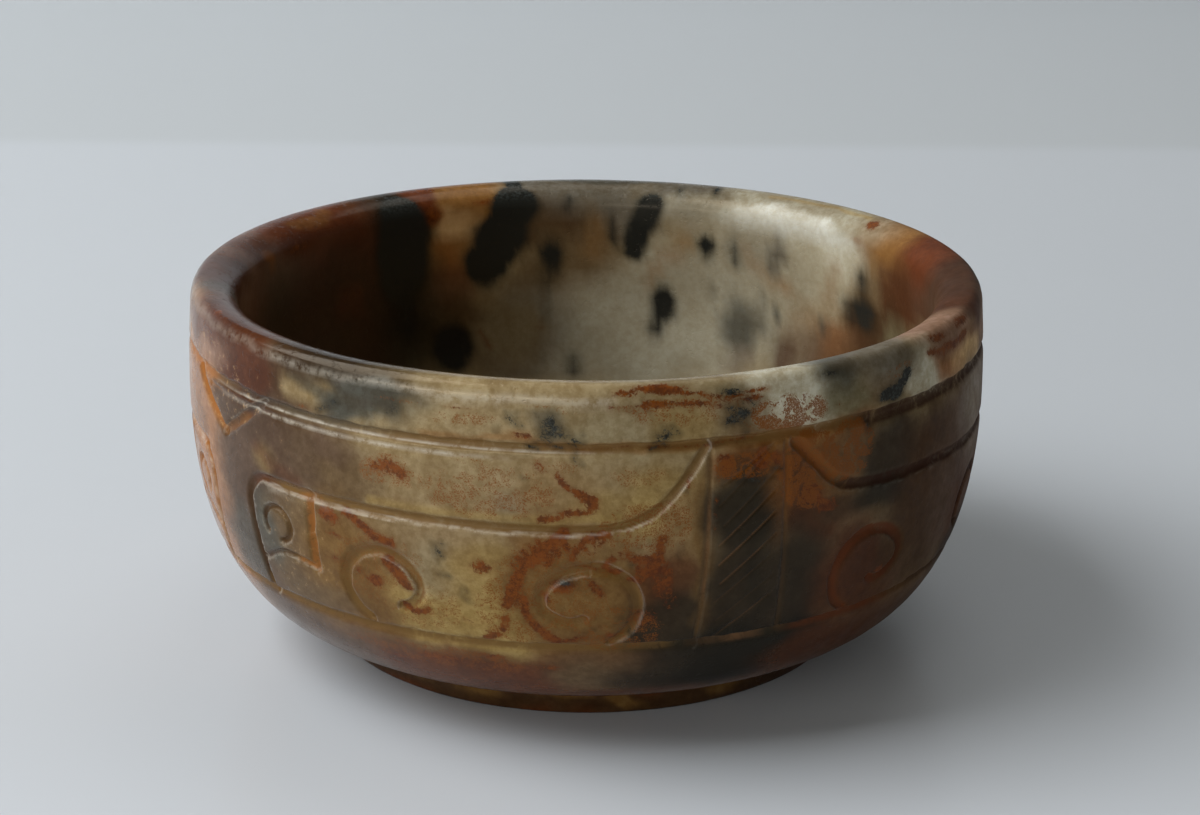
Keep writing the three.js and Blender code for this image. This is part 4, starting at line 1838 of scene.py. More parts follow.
    below = [
        Wash(-62, 7, 7, 4, Tint.ROSE, 0.6), Wash(-47, 7, 7, 4, Tint.MAUVE, 0.9),
        Wash(-34, 7.5, 6, 3.4, Tint.MAUVE, 0.8), Wash(-22, 7.8, 6.5, 3.4, Tint.BRICK),
        Wash(-10, 7.8, 6.5, 3.4, Tint.BRICK), Wash(2, 8.2, 4.5, 3.2, Tint.OLIVE, 0.9),
        Wash(12, 8, 5, 3.3, Tint.MOSS), Wash(22, 8, 6, 3.3, Tint.PITCH), Wash(36, 8, 6, 3.4, Tint.COCOA),
        Wash(48, 8, 6, 3.4, Tint.COCOA, 0.9), Wash(64, 8, 8, 4, Tint.TAUPE), Wash(84, 8, 10, 4, Tint.PLUM),
    ]
    foot = [Wash(azimuth, 1.6, 9, 1.9, Tint.UMBER, 0.95) for azimuth in range(-170, 190, 20)]
    spots = (-58, -37, -21, -4, 9, 31, 52, 75)
    ochre = [Wash(azimuth, 2.0, 2.4, 0.9, Tint.CARAMEL, 0.8) for azimuth in spots]
    return left_side + front + panel + right_side + rim_right + below + foot + ochre


def back_washes() -> Washes:
    """Lists the soft patches of the outer wall's far side, which follow those of the inside."""
    return [
        Wash(104, 20, 9, 22, Tint.COCOA), Wash(116, 27, 5, 8, Tint.HONEY, 0.9),
        Wash(117, 14, 6, 7, Tint.OLIVE, 0.9), Wash(137, 24, 10, 14, Tint.CREAM, 0.9),
        Wash(133, 12, 9, 6, Tint.TAN, 0.8), Wash(158, 20, 10, 18, Tint.PEBBLE),
        Wash(150, 15, 3.5, 3, Tint.SLATE, 0.5), Wash(176, 28, 5, 7, Tint.SAGE, 0.9),
        Wash(178, 14, 8, 8, Tint.PEBBLE, 0.8), Wash(192, 30, 5.5, 8, Tint.CHARCOAL, 0.95),
        Wash(190, 15, 6, 7, Tint.OLIVE, 0.9), Wash(206, 29, 5, 8, Tint.HONEY, 0.95),
        Wash(203, 14, 6, 7, Tint.BRICK, 0.9), Wash(219, 23, 5.5, 15, Tint.SOOT, 0.95),
        Wash(238, 22, 11, 20, Tint.OXBLOOD), Wash(232, 12, 7, 6, Tint.MAROON, 0.9),
        Wash(256, 20, 8, 20, Tint.MAROON), Wash(268, 27, 5, 7, Tint.BRICK, 0.9),
    ] + [Wash(azimuth, 7.5, 8, 3.6, Tint.COCOA, 0.75) for azimuth in range(100, 270, 18)]


def bowl_washes() -> Washes:
    """Lists the soft patches of the inner wall.

    Returns:
        The patches, the lowest layer first.
    """
    far_right = [
        Wash(97, 32, 7, 6, Tint.MAUVE), Wash(98, 20, 12, 12, Tint.COCOA, 0.9),
        Wash(110, 35, 4.4, 1.8, Tint.HONEY, 0.9), Wash(110.5, 30.6, 4.4, 3.4, Tint.COCOA, 0.95),
        Wash(112, 25, 5, 4.4, Tint.CLAY, 0.9), Wash(98, 26.5, 5, 2.6, Tint.BONE, 0.7),
        Wash(110, 24, 3.4, 3.4, Tint.SAGE, 0.7), Wash(119, 34.4, 3.8, 2, Tint.HONEY),
        Wash(120.5, 30.5, 3.2, 2.4, Tint.OLIVE, 0.9), Wash(121.5, 26, 4, 2.8, Tint.UMBER, 0.9),
        Wash(126, 20, 5.5, 5, Tint.PLUM, 0.8), Wash(118, 18, 8, 6, Tint.CLAY, 0.8),
    ]
    pale = [
        # The chalk wash at azimuth 141 near the top of the inner wall is a painted highlight.
        Wash(134, 32.5, 7.5, 4, Tint.CREAM), Wash(141, 34.8, 9, 1.8, Tint.CHALK),
        Wash(136, 28, 5, 4, Tint.SAND, 0.8), Wash(132, 28.6, 3.6, 3.6, Tint.CREAM, 0.5),
        Wash(146, 26, 7, 7, Tint.PEBBLE, 0.8), Wash(152, 34, 6, 2, Tint.PEBBLE, 0.8),
        Wash(160, 23, 10, 9, Tint.PEBBLE), Wash(172, 19, 10, 7, Tint.PEBBLE),
        Wash(160, 19.4, 10, 4, Tint.CREAM, 0.5), Wash(133, 21.4, 4.6, 3.2, Tint.PEACH, 0.4),
        Wash(163, 33.5, 4, 2.4, Tint.BONE, 0.8), Wash(137, 19.5, 3.5, 3.5, Tint.ASH, 0.6),
        Wash(173, 33.5, 4, 3, Tint.ASH, 0.9), Wash(146, 30.6, 4, 2, Tint.ASH, 0.3),
        Wash(150.3, 21.6, 2.9, 2.6, Tint.SLATE, 0.85), Wash(149.4, 17.6, 2, 1.6, Tint.TAUPE, 0.6),
        Wash(142.6, 30.6, 1.4, 2, Tint.STEEL, 0.8), Wash(138.8, 18.8, 1.2, 2.6, Tint.TAUPE, 0.85),
        Wash(143.4, 23.4, 0.9, 1.1, Tint.SLATE, 0.8), Wash(146.4, 26.2, 0.7, 0.8, Tint.SLATE, 0.4),
        Wash(157.4, 24.4, 0.8, 0.7, Tint.SLATE, 0.7), Wash(133, 22.5, 0.9, 1, Tint.SLATE, 0.7),
        Streak([(128.3, 31), (129.6, 28.4), (131, 26.4), (136, 26.1), (141, 26.6)], 1.5, Tint.HONEY, 0.35),
        Streak([(141, 26.6), (144.5, 27.8), (148.5, 30)], 1.6, Tint.HONEY, 0.3),
        Streak([(160.5, 32.5), (163.4, 29.4), (168.6, 25.8)], 1.8, Tint.HONEY, 0.4),
    ]
    middle = [
        Wash(180, 30.6, 4.2, 5.4, Tint.OLIVE, 0.85), Wash(179, 30.5, 1.8, 2.4, Tint.HONEY, 0.35),
        Wash(189.5, 33, 4.6, 3.6, Tint.CLAY, 0.85), Wash(188.5, 25, 4, 4, Tint.OLIVE, 0.8),
        Wash(193, 19, 6, 5.4, Tint.ASH, 0.9), Wash(196, 20, 2.4, 3, Tint.CARAMEL, 0.6),
        Wash(202, 33.8, 3.6, 2.4, Tint.HONEY), Wash(200.5, 20.6, 4.4, 4.2, Tint.OCHRE, 0.55),
        Wash(207.4, 31, 3.6, 5, Tint.HONEY, 0.9), Wash(207, 31, 1.6, 3.4, Tint.AMBER, 0.5),
        Wash(208, 25.6, 3.8, 3, Tint.RUSSET, 0.7), Wash(207, 21.4, 4, 2.6, Tint.UMBER, 0.7),
        Wash(208, 34.8, 3, 1.4, Tint.AMBER, 0.8), Wash(206, 33.6, 3, 2.6, Tint.APRICOT, 0.85),
        Wash(182, 20, 7, 5, Tint.CREAM, 0.4), Wash(196, 19, 5, 4, Tint.OLIVE, 0.7),
        Wash(196.6, 19.8, 4, 3.8, Tint.SAND, 0.75), Wash(196, 34.8, 1.6, 1, Tint.CHARCOAL, 0.5),
    ]
    far_left = [
        Wash(218, 29, 4.6, 9, Tint.SOOT), Wash(218, 20, 6, 5, Tint.SOOT, 0.9),
        Wash(229, 28, 5.5, 10, Tint.MAROON), Wash(240, 27, 8, 8, Tint.MAROON),
        Wash(230, 34.6, 4.5, 1.8, Tint.OXBLOOD, 0.9), Wash(239, 34.2, 6, 2.2, Tint.OXBLOOD),
        Wash(229, 26, 2, 2, Tint.RUSSET, 0.6), Wash(254, 31, 6, 6, Tint.SOOT, 0.85),
        Wash(268, 31, 8, 8, Tint.RUSSET, 0.75), Wash(236, 18, 9, 5, Tint.UMBER, 0.9),
        Wash(256, 20, 12, 8, Tint.UMBER, 0.9), Wash(222.5, 34, 2, 2.6, Tint.OXBLOOD, 0.5),
        Wash(226, 12, 8, 5, Tint.SOOT, 0.8), Wash(246, 12, 12, 6, Tint.UMBER, 0.9),
        Wash(272, 13, 12, 6, Tint.MAROON, 0.85),
    ]
    near_side = [
        Wash(-64, 24, 15, 14, Tint.MAUVE), Wash(-30, 25, 9, 14, Tint.ASH), Wash(4, 24, 13, 14, Tint.BONE),
        Wash(34, 24, 9, 14, Tint.SAGE), Wash(56, 24, 9, 14, Tint.BRICK), Wash(78, 24, 10, 14, Tint.PLUM),
    ]
    return near_side + far_right + pale + middle + far_left


def lip_washes() -> Washes:
    """Lists the soft patches of the lip."""
    return [
        Wash(-175, 0.5, 6.5, 4, Tint.ASH), Wash(-156.5, 0.5, 5, 4, Tint.HONEY),
        Wash(-146.5, 0.5, 2.6, 4, Tint.RUSSET), Wash(-139, 0.5, 2.6, 4, Tint.SOOT, 0.9),
        Wash(-122, 0.5, 9.5, 4, Tint.RUSSET), Wash(-104, 0.5, 3.6, 4, Tint.BRICK),
        Wash(-107.5, 0.9, 1.2, 1, Tint.AMBER, 0.7), Wash(-88, 0.5, 7, 4, Tint.PLUM),
        Wash(-77.5, 0.6, 2, 2.4, Tint.SLATE, 0.8), Wash(-60, 0.5, 11, 4, Tint.PLUM),
        Wash(-41, 0.4, 4, 3, Tint.UMBER), Wash(-30, 0.4, 7, 4, Tint.CHARCOAL),
        Wash(-28, 0, 5, 0.9, Tint.SLATE, 0.9), Wash(-8, 0.4, 11, 3, Tint.BONE, 0.9),
        Wash(12, 0.4, 6, 3, Tint.SAND, 0.8), Wash(26.5, 0.35, 4, 3.4, Tint.CREAM),
        Wash(34.5, 0.4, 2.8, 3.4, Tint.SLATE, 0.9), Wash(45, 0.4, 6, 3.4, Tint.ASH, 0.9),
        Wash(52, 0.2, 3, 1.4, Tint.SAND, 0.6), Wash(61, 0.4, 7, 3, Tint.ROSE, 0.9),
        Wash(74, 0.5, 5, 4, Tint.COCOA), Wash(88, 0.5, 8, 4, Tint.MAROON),
        Wash(103, 0.6, 5, 4, Tint.RUSSET),
        Streak([(98, 0.1), (106, 0.12), (114, 0.2)], 1.6, Tint.SIENNA, 0.7),
        Wash(116.5, 0.5, 5, 4, Tint.HONEY), Wash(140, 0.5, 13, 4, Tint.PEBBLE),
        # The chalk wash at azimuth 141 on the lip's inner edge is a painted highlight.
        Wash(141, 0.95, 9, 1.5, Tint.CHALK, 0.8),
        Streak([(124, 0.5), (134, 0.48), (146, 0.5)], 0.7, Tint.TAN, 0.6), Wash(163, 0.5, 5.5, 4, Tint.ASH),
        Wash(160, 0.9, 5, 2, Tint.PEBBLE, 0.7), Wash(176, 0.5, 3.6, 4, Tint.ASH),
        Streak([(168, 0.35), (177, 0.4), (186, 0.35)], 1.3, Tint.SLATE, 0.7),
        Streak([(-128, 0.6), (-124, 0.7), (-119, 0.55)], 1.4, Tint.HONEY, 0.4),
    ]


def floor_washes() -> Washes:
    """Lists the soft patches of the inner floor."""
    return [
        Wash(150, 6, 20, 16, Tint.PEBBLE), Wash(20, 14, 14, 8, Tint.BONE, 0.8),
        Wash(222, 22, 8, 4, Tint.SOOT, 0.85), Wash(238, 20, 8, 5, Tint.UMBER, 0.9),
        Wash(256, 22, 9, 5, Tint.MAROON, 0.85), Wash(262, 16, 5, 4, Tint.COCOA, 0.7),
        Wash(278, 21, 8, 4, Tint.UMBER, 0.8), Wash(300, 20, 5, 3, Tint.TAN, 0.7),
        Wash(80, 22, 9, 4, Tint.BRICK, 0.8), Wash(98, 20, 6, 3.4, Tint.CLAY, 0.8),
        Wash(64, 20, 5, 3, Tint.SIENNA, 0.6), Wash(190, 10, 4, 3, Tint.SLATE, 0.5),
        Wash(340, 13, 5, 3, Tint.OCHRE, 0.5), Wash(130, 15, 4, 5, Tint.SAND, 0.6),
    ]


def floor_ink() -> Marks:
    """Lists the inky marks of the inner floor."""
    return [
        Blot(200, 14, 1.8, 1.3), Blot(212, 11.6, 1.1, 1.2), Blot(160, 17, 1.2, 1.6, 0.9),
        Blot(330, 12, 1.5, 1.8, 0.85), Blot(24, 18, 1.1, 1.2, 0.9), Blot(118, 9, 1.4, 1.1, 0.85),
        Blot(290, 8, 1, 1.4, 0.9),
    ]


def under_washes() -> Washes:
    """Lists the soft patches of the foot's underside."""
    return [
        Wash(0, 12, 80, 40, Tint.BRICK), Wash(40, 12, 7, 6, Tint.UMBER, 0.8),
        Wash(200, 10, 9, 7, Tint.BONE, 0.8), Wash(150, 16, 6, 4, Tint.PEBBLE, 0.8),
        Wash(270, 15, 8, 5, Tint.MAROON, 0.9), Wash(-40, 9, 5, 4, Tint.OCHRE, 0.7),
    ]


def seam_washes() -> Washes:
    """Lists the colours of the dirt in the cut lines, where it isn't the usual ochre, with dark wine ones on
    the right side that are partly painted shade.
    """
    return [
        Wash(-76, 26, 13, 12, Tint.AMBER), Wash(-61, 28.6, 3.5, 2.4, Tint.AMBER),
        Wash(-50, 28, 3.8, 6, Tint.BRICK), Wash(-53.6, 28.4, 2.6, 1.6, Tint.SIENNA),
        Wash(-51, 17, 2.6, 7, Tint.CLAY), Wash(-42, 31.2, 11, 1.4, Tint.SLATE, 0.7),
        Wash(-46, 18, 3, 5, Tint.CLAY, 0.8), Wash(-38.6, 19.5, 1.6, 4.5, Tint.AMBER, 0.9),
        Wash(-42, 11.8, 9, 1.6, Tint.CARAMEL, 0.9), Wash(16, 13.6, 6, 5, Tint.CARAMEL, 0.9),
        Wash(22, 11.2, 10, 2, Tint.SOOT), Wash(16, 21, 1.2, 12, Tint.UMBER, 0.8),
        Wash(21, 19, 3.4, 8, Tint.PEACH), Wash(26.8, 18, 1.2, 8, Tint.SOOT, 0.8),
        Wash(29, 27, 4, 5, Tint.SIENNA), Wash(41, 17, 8, 7, Tint.RUSSET),
        Wash(40.5, 21.6, 3.6, 1.4, Tint.RUSSET, 0.8), Wash(40, 11.4, 6, 1.2, Tint.RUSSET),
        # The wine washes darken the grooves of the shaded right side: painted shade as well as dirt.
        Wash(60, 22, 9, 14, Tint.WINE), Wash(62, 31.2, 16, 1.8, Tint.WINE), Wash(80, 20, 10, 18, Tint.WINE),
        Wash(46, 25, 11, 2.4, Tint.WINE), Wash(44, 31.2, 3.6, 1.4, Tint.WINE, 0.9),
    ] + [Wash(azimuth, 21, 9, 20, Tint.RUSSET, 0.9) for azimuth in (105, 215, 240, 262)]


def rust_marks() -> Marks:
    """Lists the crisp rusty marks of the outer wall.

    Returns:
        The marks.
    """
    rim = [
        Vein([(-18, 34.8), (-14.5, 34.7), (-11, 34.9)], 0.3, 0.8), Vein([(-8.8, 32.1), (-7, 32.2)], 0.5),
        Vein([(-6, 31.6), (-1, 31.5), (6, 31.7)], 0.25, 0.75),
        Vein([(8, 31.7), (14, 31.6), (22, 31.8)], 0.3, 0.8), Vein([(3, 35), (4.6, 34.7), (6.6, 34.9)], 0.4),
        Vein([(7.2, 35.2), (8.4, 34.8), (9.6, 35), (10.8, 34.8)], 0.55),
        Vein([(7, 35.7), (12, 35.9), (17, 35.7), (22.6, 35.4)], 0.5),
        Vein([(16.6, 34.9), (18.6, 35.2)], 0.4, 0.8), Blot(-39.2, 31.8, 0.9, 0.25, 0.8),
        Vein([(-38, 35), (-35, 34.9), (-32.5, 35.1)], 0.4, 0.8),
        Vein([(52.6, 35.3), (55, 35.6), (58, 35.3)], 0.6), Vein([(57, 36), (61, 35.8), (64.5, 36.1)], 0.8),
        Vein([(34, 33.1), (35.4, 32.9), (36.8, 33.1)], 0.35, 0.9),
    ]
    band = [
        Blot(-25.6, 28.3, 2, 1, 0.66), Blot(-23.6, 28, 0.9, 0.7, 0.8),
        Vein([(-3.2, 29), (-2.6, 28.2), (-1.6, 27.5), (-0.2, 27.2)], 0.7),
        Vein([(-0.6, 27), (0.6, 26.8), (1.2, 26.2), (0.9, 25.6)], 0.9),
        Vein([(1, 25.5), (-1, 25.3), (-3, 25.1), (-5.2, 24.8)], 0.7), Blot(-5.6, 29.7, 0.9, 0.8, 0.6),
        Blot(13.3, 28, 0.3, 0.7, 0.9), Vein([(-24.5, 25.6), (-20, 25.5)], 0.25, 0.6),
    ]
    left_half = [
        Blot(-35, 22.4, 1.6, 0.8, 0.85), Blot(-34.2, 20.7, 1.2, 0.35, 0.8),
        Blot(-34.4, 18.1, 0.9, 0.3, 0.8),
        Vein([(-32, 23.4), (-30.2, 22.7), (-28, 21.8), (-25.2, 21.1)], 0.9, 0.95),
        Blot(-28, 16.9, 1, 0.8, 0.95), Vein([(-25.8, 19.2), (-24.5, 18.2), (-23.1, 17.1)], 1.2),
        Vein([(-24.2, 14.7), (-22.5, 14.5), (-20.6, 14.9)], 0.7), Blot(-30.6, 17.6, 0.4, 0.3, 0.9),
        Blot(-12.8, 19.8, 1.2, 0.6, 0.85), Blot(-11.4, 20.2, 0.7, 0.25, 0.8),
        Vein([(-14.2, 20.6), (-12.8, 20.4)], 0.3, 0.8),
        Vein([(-16, 14.5), (-14.4, 14.3), (-12.8, 14.4)], 0.35),
        Vein([(-13, 12.8), (-11.6, 13.4), (-10.5, 14.6), (-10.2, 15.4)], 0.9),
    ]
    middle = [
        Vein([(-2.6, 23.4), (-4.4, 22.6), (-6, 21.4), (-7.4, 19.8), (-8.4, 18.2), (-9.8, 16.6)], 1.1),
        Vein([(-2.4, 22.4), (-4.2, 21.4), (-6.2, 20.5)], 0.7),
        Vein([(-8.8, 20.6), (-7.4, 21.8), (-5.6, 23.1)], 0.5),
        Vein([(3.2, 23.3), (1.2, 23.1), (-0.4, 22.4), (-1.6, 21.2)], 0.8),
        Vein([(0.8, 21.6), (1.8, 22.3), (2.8, 22.9)], 0.5, 0.9), Vein([(-3.4, 21.1), (-5.5, 20.1)], 0.4),
        Vein([(-7.7, 17.4), (-7.5, 15.6), (-6.4, 14.2), (-4.8, 13.3), (-3.8, 12.6)], 1, 0.9),
        Vein([(-4, 12.6), (-2, 12.9), (0.2, 13.5)], 0.45),
        Vein([(4.8, 19.9), (3.2, 20.1), (3, 20.9), (4.6, 21.6), (7, 21.4), (9.6, 21.5)], 0.6),
        Vein([(-1.4, 20.5), (1, 20.2), (3.6, 19.9)], 0.35, 0.8), Blot(8.6, 20.2, 1.9, 1, 0.75),
        Blot(6.8, 19.2, 0.8, 0.5, 0.9), Blot(10, 18.6, 1.2, 1.4, 0.6), Blot(11.2, 17, 1, 1.6, 0.5),
        Blot(8, 15.4, 1.6, 1.2, 0.5), Vein([(9.4, 21.4), (9.9, 23)], 0.8),
        Vein([(1.1, 18.9), (1.9, 18.3), (2.6, 17.7)], 0.7), Blot(-2.4, 18.4, 1.3, 0.7, 0.95),
        Blot(-4.6, 17.3, 0.5, 0.6, 0.8), Blot(3.6, 13.5, 0.8, 0.4, 0.85), Blot(2.4, 14.4, 0.6, 0.3, 0.8),
    ]
    right_half = [
        Blot(17.6, 30.2, 0.9, 0.5, 0.9), Blot(18, 29.2, 0.6, 0.9, 0.8), Blot(22.7, 29.6, 1, 1.2, 0.85),
        Blot(25, 29.6, 0.6, 0.7, 0.9), Vein([(16.9, 29), (17.1, 26), (17, 23)], 0.35, 0.8),
        Vein([(28.6, 30), (30.6, 28.4), (32.6, 26.9)], 0.4, 0.9), Blot(30.6, 25.4, 1.6, 1.2, 0.7),
        Blot(33, 24.2, 1.6, 0.9, 0.7), Blot(44.4, 15.6, 0.7, 0.4, 0.9),
    ]
    under = [
        Blot(-21, 9.4, 2.6, 0.9, 0.7), Blot(-12, 10.2, 2, 0.8, 0.8), Blot(-28, 8.4, 2.2, 0.8, 0.65),
        Blot(-4, 9.6, 1.4, 0.6, 0.7),
    ]
    back = [
        Vein([(130, 27), (132, 24.4), (136, 22.6), (137, 20)], 0.7, 0.8),
        Vein([(136, 21), (139, 18.6), (138.6, 16)], 0.5, 0.75),
        Vein([(146, 30), (150, 28.6), (153, 28.8)], 0.4, 0.8), Blot(151, 27.4, 1.6, 0.6, 0.66),
        Blot(166, 22, 2.2, 1, 0.68), Vein([(164, 20.6), (167, 19.4)], 0.4, 0.8),
        Vein([(171, 17), (174.6, 18.8), (178, 18)], 0.5, 0.75), Vein([(176, 16.4), (181, 17.2)], 0.4, 0.75),
        Blot(112, 23, 2.4, 2, 0.66), Vein([(108, 26), (110, 23.6), (115, 21)], 0.6, 0.75),
        Blot(204, 22, 2.4, 1.6, 0.68), Blot(207, 25.4, 1.2, 0.8, 0.7),
        Vein([(158, 33.6), (163, 34.2), (168, 33.9)], 0.35, 0.75),
    ]
    return rim + band + left_half + middle + right_half + under + back


def feather(azimuth: float, height: float, size: float) -> Marks:
    """Draws a feathery inky mark: a core with thin barbs round it.

    Args:
        azimuth: Azimuth of its middle, in degrees.
        height: Height of its middle, in millimetres.
        size: Half width of its core, in millimetres.

    Returns:
        The core and its barbs.
    """
    degrees_to_mm = 1.45
    marks: Marks = [Blot(azimuth, height, size, 0.85 * size, 0.85)]
    for turn in range(0, 360, 60):
        angle = math.radians(turn + 11 * azimuth + 20 * math.sin(turn))
        reach = size * (1.5 + 0.6 * math.sin(3 * azimuth + turn))
        tip = (azimuth + degrees_to_mm * reach * math.cos(angle), height + reach * math.sin(angle))
        marks.append(Vein([(azimuth, height), tip], 0.34 + 0.14 * size, 0.88))
    return marks


def ink_marks() -> Marks:
    """Lists the crisp inky marks of the outer wall.

    Returns:
        The marks.
    """
    rim = [
        Vein([(-25.4, 32.9), (-24.6, 33.7), (-23.6, 34.2)], 0.3),
        Vein([(-25.2, 33.7), (-24.2, 33.1)], 0.3, 0.9),
        Vein([(-36.6, 31.9), (-35, 32.5), (-33.4, 33.3)], 0.9, 0.75),
        Vein([(-9.6, 34.3), (-8.9, 33.7), (-8.3, 33.1)], 0.5), Blot(-10.9, 32.7, 0.3, 0.3),
        Blot(-4.2, 33.4, 0.7, 1.1, 0.8), Vein([(-7.2, 31.3), (-6, 31.2)], 0.4),
        Vein([(-4.1, 31.7), (-3, 31.5)], 0.4), Vein([(-1.3, 30.7), (-0.2, 30.3)], 0.5),
        Vein([(9.2, 32), (10.4, 32.6), (10.9, 33.1)], 0.4), Vein([(8.6, 31.5), (9.5, 31.6)], 0.4),
        Vein([(18, 33.3), (20, 33.6), (21.4, 34.3)], 0.7), Vein([(18.4, 34.5), (20.4, 33.4)], 0.5),
        Vein([(19.8, 36.2), (21.2, 35.9)], 0.5),
        Vein([(42, 33), (44, 33.2), (46, 33.6), (47.4, 34.4)], 1.4), Blot(44.4, 32.9, 1.5, 0.9),
        Blot(39.6, 30.5, 0.6, 0.7, 0.7),
    ]
    wall = [
        Vein([(-19.3, 21.4), (-18.4, 20.9), (-17.7, 20.7)], 0.35),
        Vein([(-18.6, 21.6), (-18.2, 20.6)], 0.25), Vein([(-18, 19), (-17, 18.7)], 0.3),
        Blot(-15.2, 17.7, 0.3, 0.3), Vein([(-15.8, 16.9), (-14.9, 16.7)], 0.35), Blot(-2, 18.8, 0.8, 0.4),
        Vein([(-1.9, 18.5), (-1.4, 19.2)], 0.35), Blot(12, 22.1, 0.25, 0.25),
        Vein([(11.8, 21.3), (12, 20.9)], 0.25), Vein([(12.8, 27.3), (13.5, 27.1)], 0.25),
        Vein([(5.8, 20.8), (6.8, 20.6)], 0.25, 0.9), Blot(8.4, 22.9, 0.25, 0.2, 0.9),
        Vein([(-7.7, 28.4), (-6.8, 28.1)], 0.25), Vein([(1, 14.3), (2, 14.2)], 0.2, 0.9),
        Blot(22, 27.7, 1.3, 0.4, 0.9), Vein([(24.4, 28.6), (25.6, 28.5)], 0.4),
        Blot(-10.4, 20.1, 0.15, 0.15),
    ]
    feathers = [
        (132, 29, 0.6), (143, 24.4, 0.9), (152, 30, 0.7), (163, 28.6, 1.2), (171, 23, 0.8), (157, 14.6, 0.6),
        (182, 22.4, 1.0), (188.6, 18.4, 1.2), (197, 26, 1.8), (-8.8, 33.6, 0.5), (-5, 32.7, 0.7),
        (-3.6, 32.9, 0.8), (-1, 32.3, 0.6), (10.3, 32.5, 0.6), (20.2, 34, 0.9), (-18.6, 21.1, 0.4),
        (-24.6, 33.5, 0.4),
    ]
    return rim + wall + [mark for place in feathers for mark in feather(*place)]


def bowl_ink() -> Marks:
    """Lists the inky marks of the inner wall."""
    return [
        Blot(157.3, 30.6, 1.4, 1.7), Vein([(168.2, 34.8), (169.4, 33), (170.6, 31), (171.2, 29.6)], 3.4),
        Vein([(175.6, 33.5), (175.4, 30.5)], 1.4, 0.85), Blot(194.4, 34.4, 3, 2.8), Blot(197, 31.2, 3.8, 3),
        Blot(199.8, 28, 3, 3), Blot(186.9, 28.4, 1.6, 2.3, 0.95), Blot(188, 26.2, 1.6, 1.1, 0.8),
        Vein([(186.5, 30.4), (187.2, 27), (188.6, 23), (188.3, 21)], 1.2, 0.75),
        Blot(183, 15.8, 1, 1.5, 0.9), Blot(206.8, 18.6, 2.8, 3, 0.95), Blot(165.6, 23.4, 1.9, 2),
        Vein([(166.6, 22.4), (167.4, 19.4)], 1.8, 0.95), Blot(121.2, 31, 1.1, 1.3, 0.85),
        Blot(125.4, 26.2, 1.6, 1.3, 0.85), Blot(121.4, 26.8, 2.6, 2.2, 0.8),
        Vein([(151.2, 31.6), (151, 30), (150.9, 28.7)], 1.3, 0.82),
        Vein([(184.1, 35.2), (184.8, 34)], 0.9, 0.9), Blot(217, 31, 3.8, 7, 0.95),
        Blot(216, 22.5, 1.4, 2.4, 0.9),
    ]


def bowl_rust() -> Marks:
    """Lists the rusty marks of the inner wall."""
    return [
        Blot(200, 35.5, 1.4, 0.5, 0.8), Blot(210.6, 34.4, 1.5, 1.4, 0.85),
        Vein([(199.5, 18.4), (201.6, 20.4)], 0.9, 0.75), Blot(190, 20.4, 0.9, 0.6, 0.65),
        Blot(243, 34.6, 3, 1.2, 0.7), Blot(123.6, 35, 1, 0.5, 0.7),
    ]


def lip_marks() -> tuple[Marks, Marks]:
    """Lists the crisp marks of the lip.

    Returns:
        The rusty ones and the inky ones.
    """
    rust = [
        Blot(9.4, 0.17, 2.7, 0.5), Vein([(3.6, 0.14), (6, 0.1)], 0.4),
        Vein([(13, 0.12), (18, 0.08), (23.5, 0.1)], 0.45, 0.9), Blot(56, 0.16, 1.6, 0.4, 0.9),
        Blot(64, 0.2, 2.2, 0.6, 0.8), Blot(-150, 0.4, 1.6, 1.2, 0.75), Blot(-64, 0.3, 1.6, 0.7, 0.65),
        Blot(122, 0.6, 1, 0.8, 0.8),
    ]
    ink = [
        Blot(19, 0.14, 1.1, 0.5, 0.9), Blot(-166.5, 0.5, 1, 2), Blot(156.8, 0.5, 0.6, 1.5, 0.8),
        Blot(163.5, 0.6, 0.6, 1, 0.75), Blot(33, 0.15, 1.6, 0.6, 0.7),
    ]
    return rust, ink


def wall_flecks() -> Marks:
    """Lists the places of the outer wall that are full of fine rusty specks."""
    return [
        Blot(26.4, 33.4, 5.4, 1.9), Blot(12, 34.4, 6, 1.6, 0.84), Blot(46, 34.8, 4, 1.2, 0.82),
        Blot(-8, 16, 5, 4, 0.84), Blot(4, 14, 5, 3, 0.84), Blot(-22, 15.6, 5, 3.4, 0.8),
        Blot(8, 24, 5, 3, 0.85), Blot(-12, 27, 7, 3, 0.83), Blot(-20, 9.6, 14, 2, 0.85),
        Blot(30, 27.8, 4, 4.2), Blot(36.6, 28.8, 3.4, 3.2, 0.95), Blot(-14.5, 30.1, 3.5, 0.7, 0.82),
        Blot(-15, 33.6, 5, 1.2, 0.84), Blot(-24, 34.4, 4, 1, 0.8), Blot(-4, 34.8, 5, 0.8, 0.84),
        Blot(-3.5, 29.8, 4, 1.2, 0.8), Blot(4, 34.9, 5, 0.6, 0.8), Blot(57, 35.2, 5, 0.8, 0.9),
        Blot(-4, 18.5, 6, 5, 0.8), Blot(-27, 18, 6, 4.5, 0.78), Blot(13.4, 26, 1.4, 4, 0.75),
        Blot(12, 14, 3, 3, 0.55), Blot(20.5, 29.2, 3.6, 1.8), Blot(7, 29, 4, 1.6, 0.8),
        Blot(-25, 28, 4, 2, 0.84), Blot(16, 32.2, 5, 0.6, 0.8), Blot(140, 16, 8, 5, 0.7),
        Blot(170, 26, 8, 5, 0.66),
    ]


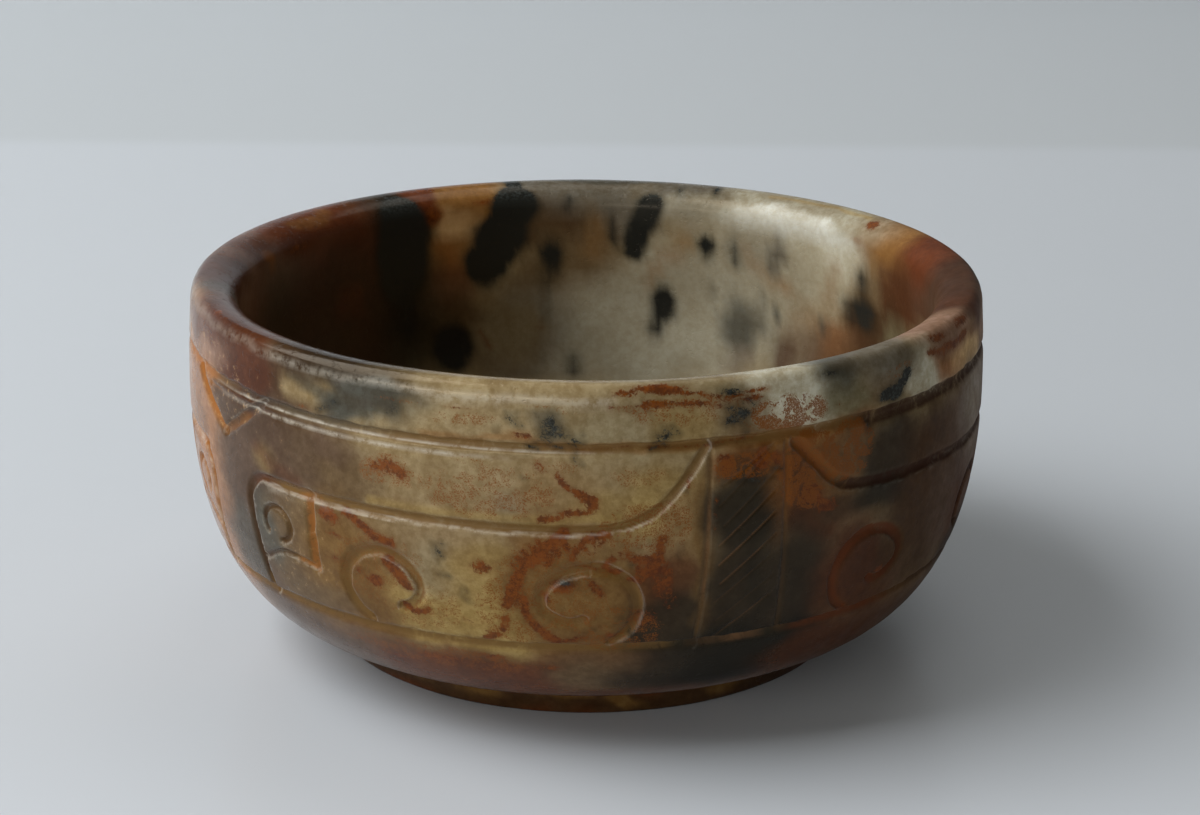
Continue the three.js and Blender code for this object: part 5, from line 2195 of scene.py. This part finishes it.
def wall_dust() -> Marks:
    """Lists the places of the outer wall with fine golden specks."""
    return [
        Blot(-48, 33, 6, 2, 0.75), Blot(-57, 30, 7, 3.6, 1), Blot(-63, 33, 5, 2.4, 1),
        Blot(-47, 27, 6, 3.6, 0.74), Blot(-70, 24, 8, 10, 0.8), Blot(-42, 18, 5, 6, 0.8),
        Blot(-30, 14, 8, 3, 0.66), Blot(-10, 8, 20, 3, 0.6), Blot(30, 29, 5, 4, 0.6),
        Blot(54, 34, 4, 2, 0.7),
    ]


def lip_painted_highlight() -> Marks:
    """Lists the whitish streaks round the lip's outer edge, which are a painted highlight."""
    return [
        Vein([(-92, 0.16), (-76, 0.16), (-60, 0.15), (-46, 0.12), (-34, 0.1)], 0.15, 0.4),
        Vein([(-46, 0.12), (-34, 0.1), (-20, 0.085), (-6, 0.07), (3, 0.06)], 0.15, 0.68),
        Vein([(96, 0.12), (104, 0.14), (112, 0.12)], 0.3, 0.7),
    ]


def cup_markings() -> Markings:
    """Gathers the stone's markings.

    Returns:
        The washes, seams, rust, ink, flecks, dust and the lip's painted highlight.
    """
    lip_rust, lip_ink = lip_marks()
    return Markings(
        washes=[
            Layer(Face.UNDER, under_washes()),
            Layer(Face.FLOOR, floor_washes()),
            Layer(Face.INSIDE, bowl_washes()),
            Layer(Face.OUTSIDE, back_washes() + wall_washes()),
            Layer(Face.LIP, lip_washes()),
        ],
        seams=[Layer(Face.OUTSIDE, seam_washes())],
        rust=[
            Layer(Face.OUTSIDE, rust_marks()),
            Layer(Face.INSIDE, bowl_rust()),
            Layer(Face.LIP, lip_rust),
        ],
        ink=[
            Layer(Face.OUTSIDE, ink_marks()),
            Layer(Face.INSIDE, bowl_ink()),
            Layer(Face.FLOOR, floor_ink()),
            Layer(Face.LIP, lip_ink),
        ],
        flecks=[Layer(Face.OUTSIDE, wall_flecks())],
        dust=[Layer(Face.OUTSIDE, wall_dust())],
        # The lip's whitish streaks are a painted highlight.
        painted_highlight=[Layer(Face.LIP, lip_painted_highlight())],
    )


def main() -> None:
    """Builds the cup, the table, the light and the camera."""
    logging.basicConfig(level=logging.INFO, format="%(message)s")
    Camera().build()
    low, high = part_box(NODE)
    section = Section(belly_radius=(high.x - low.x) / 2 / MM, cup_height=high.z / MM)
    JadeCup(section, Carving(section), cup_markings(), JadeFinish()).build()
    for piece in (Table().build(), Backdrop().build()):
        log.info("%s: stage", piece.name)
    Studio().build()


if __name__ == "__main__":
    main()
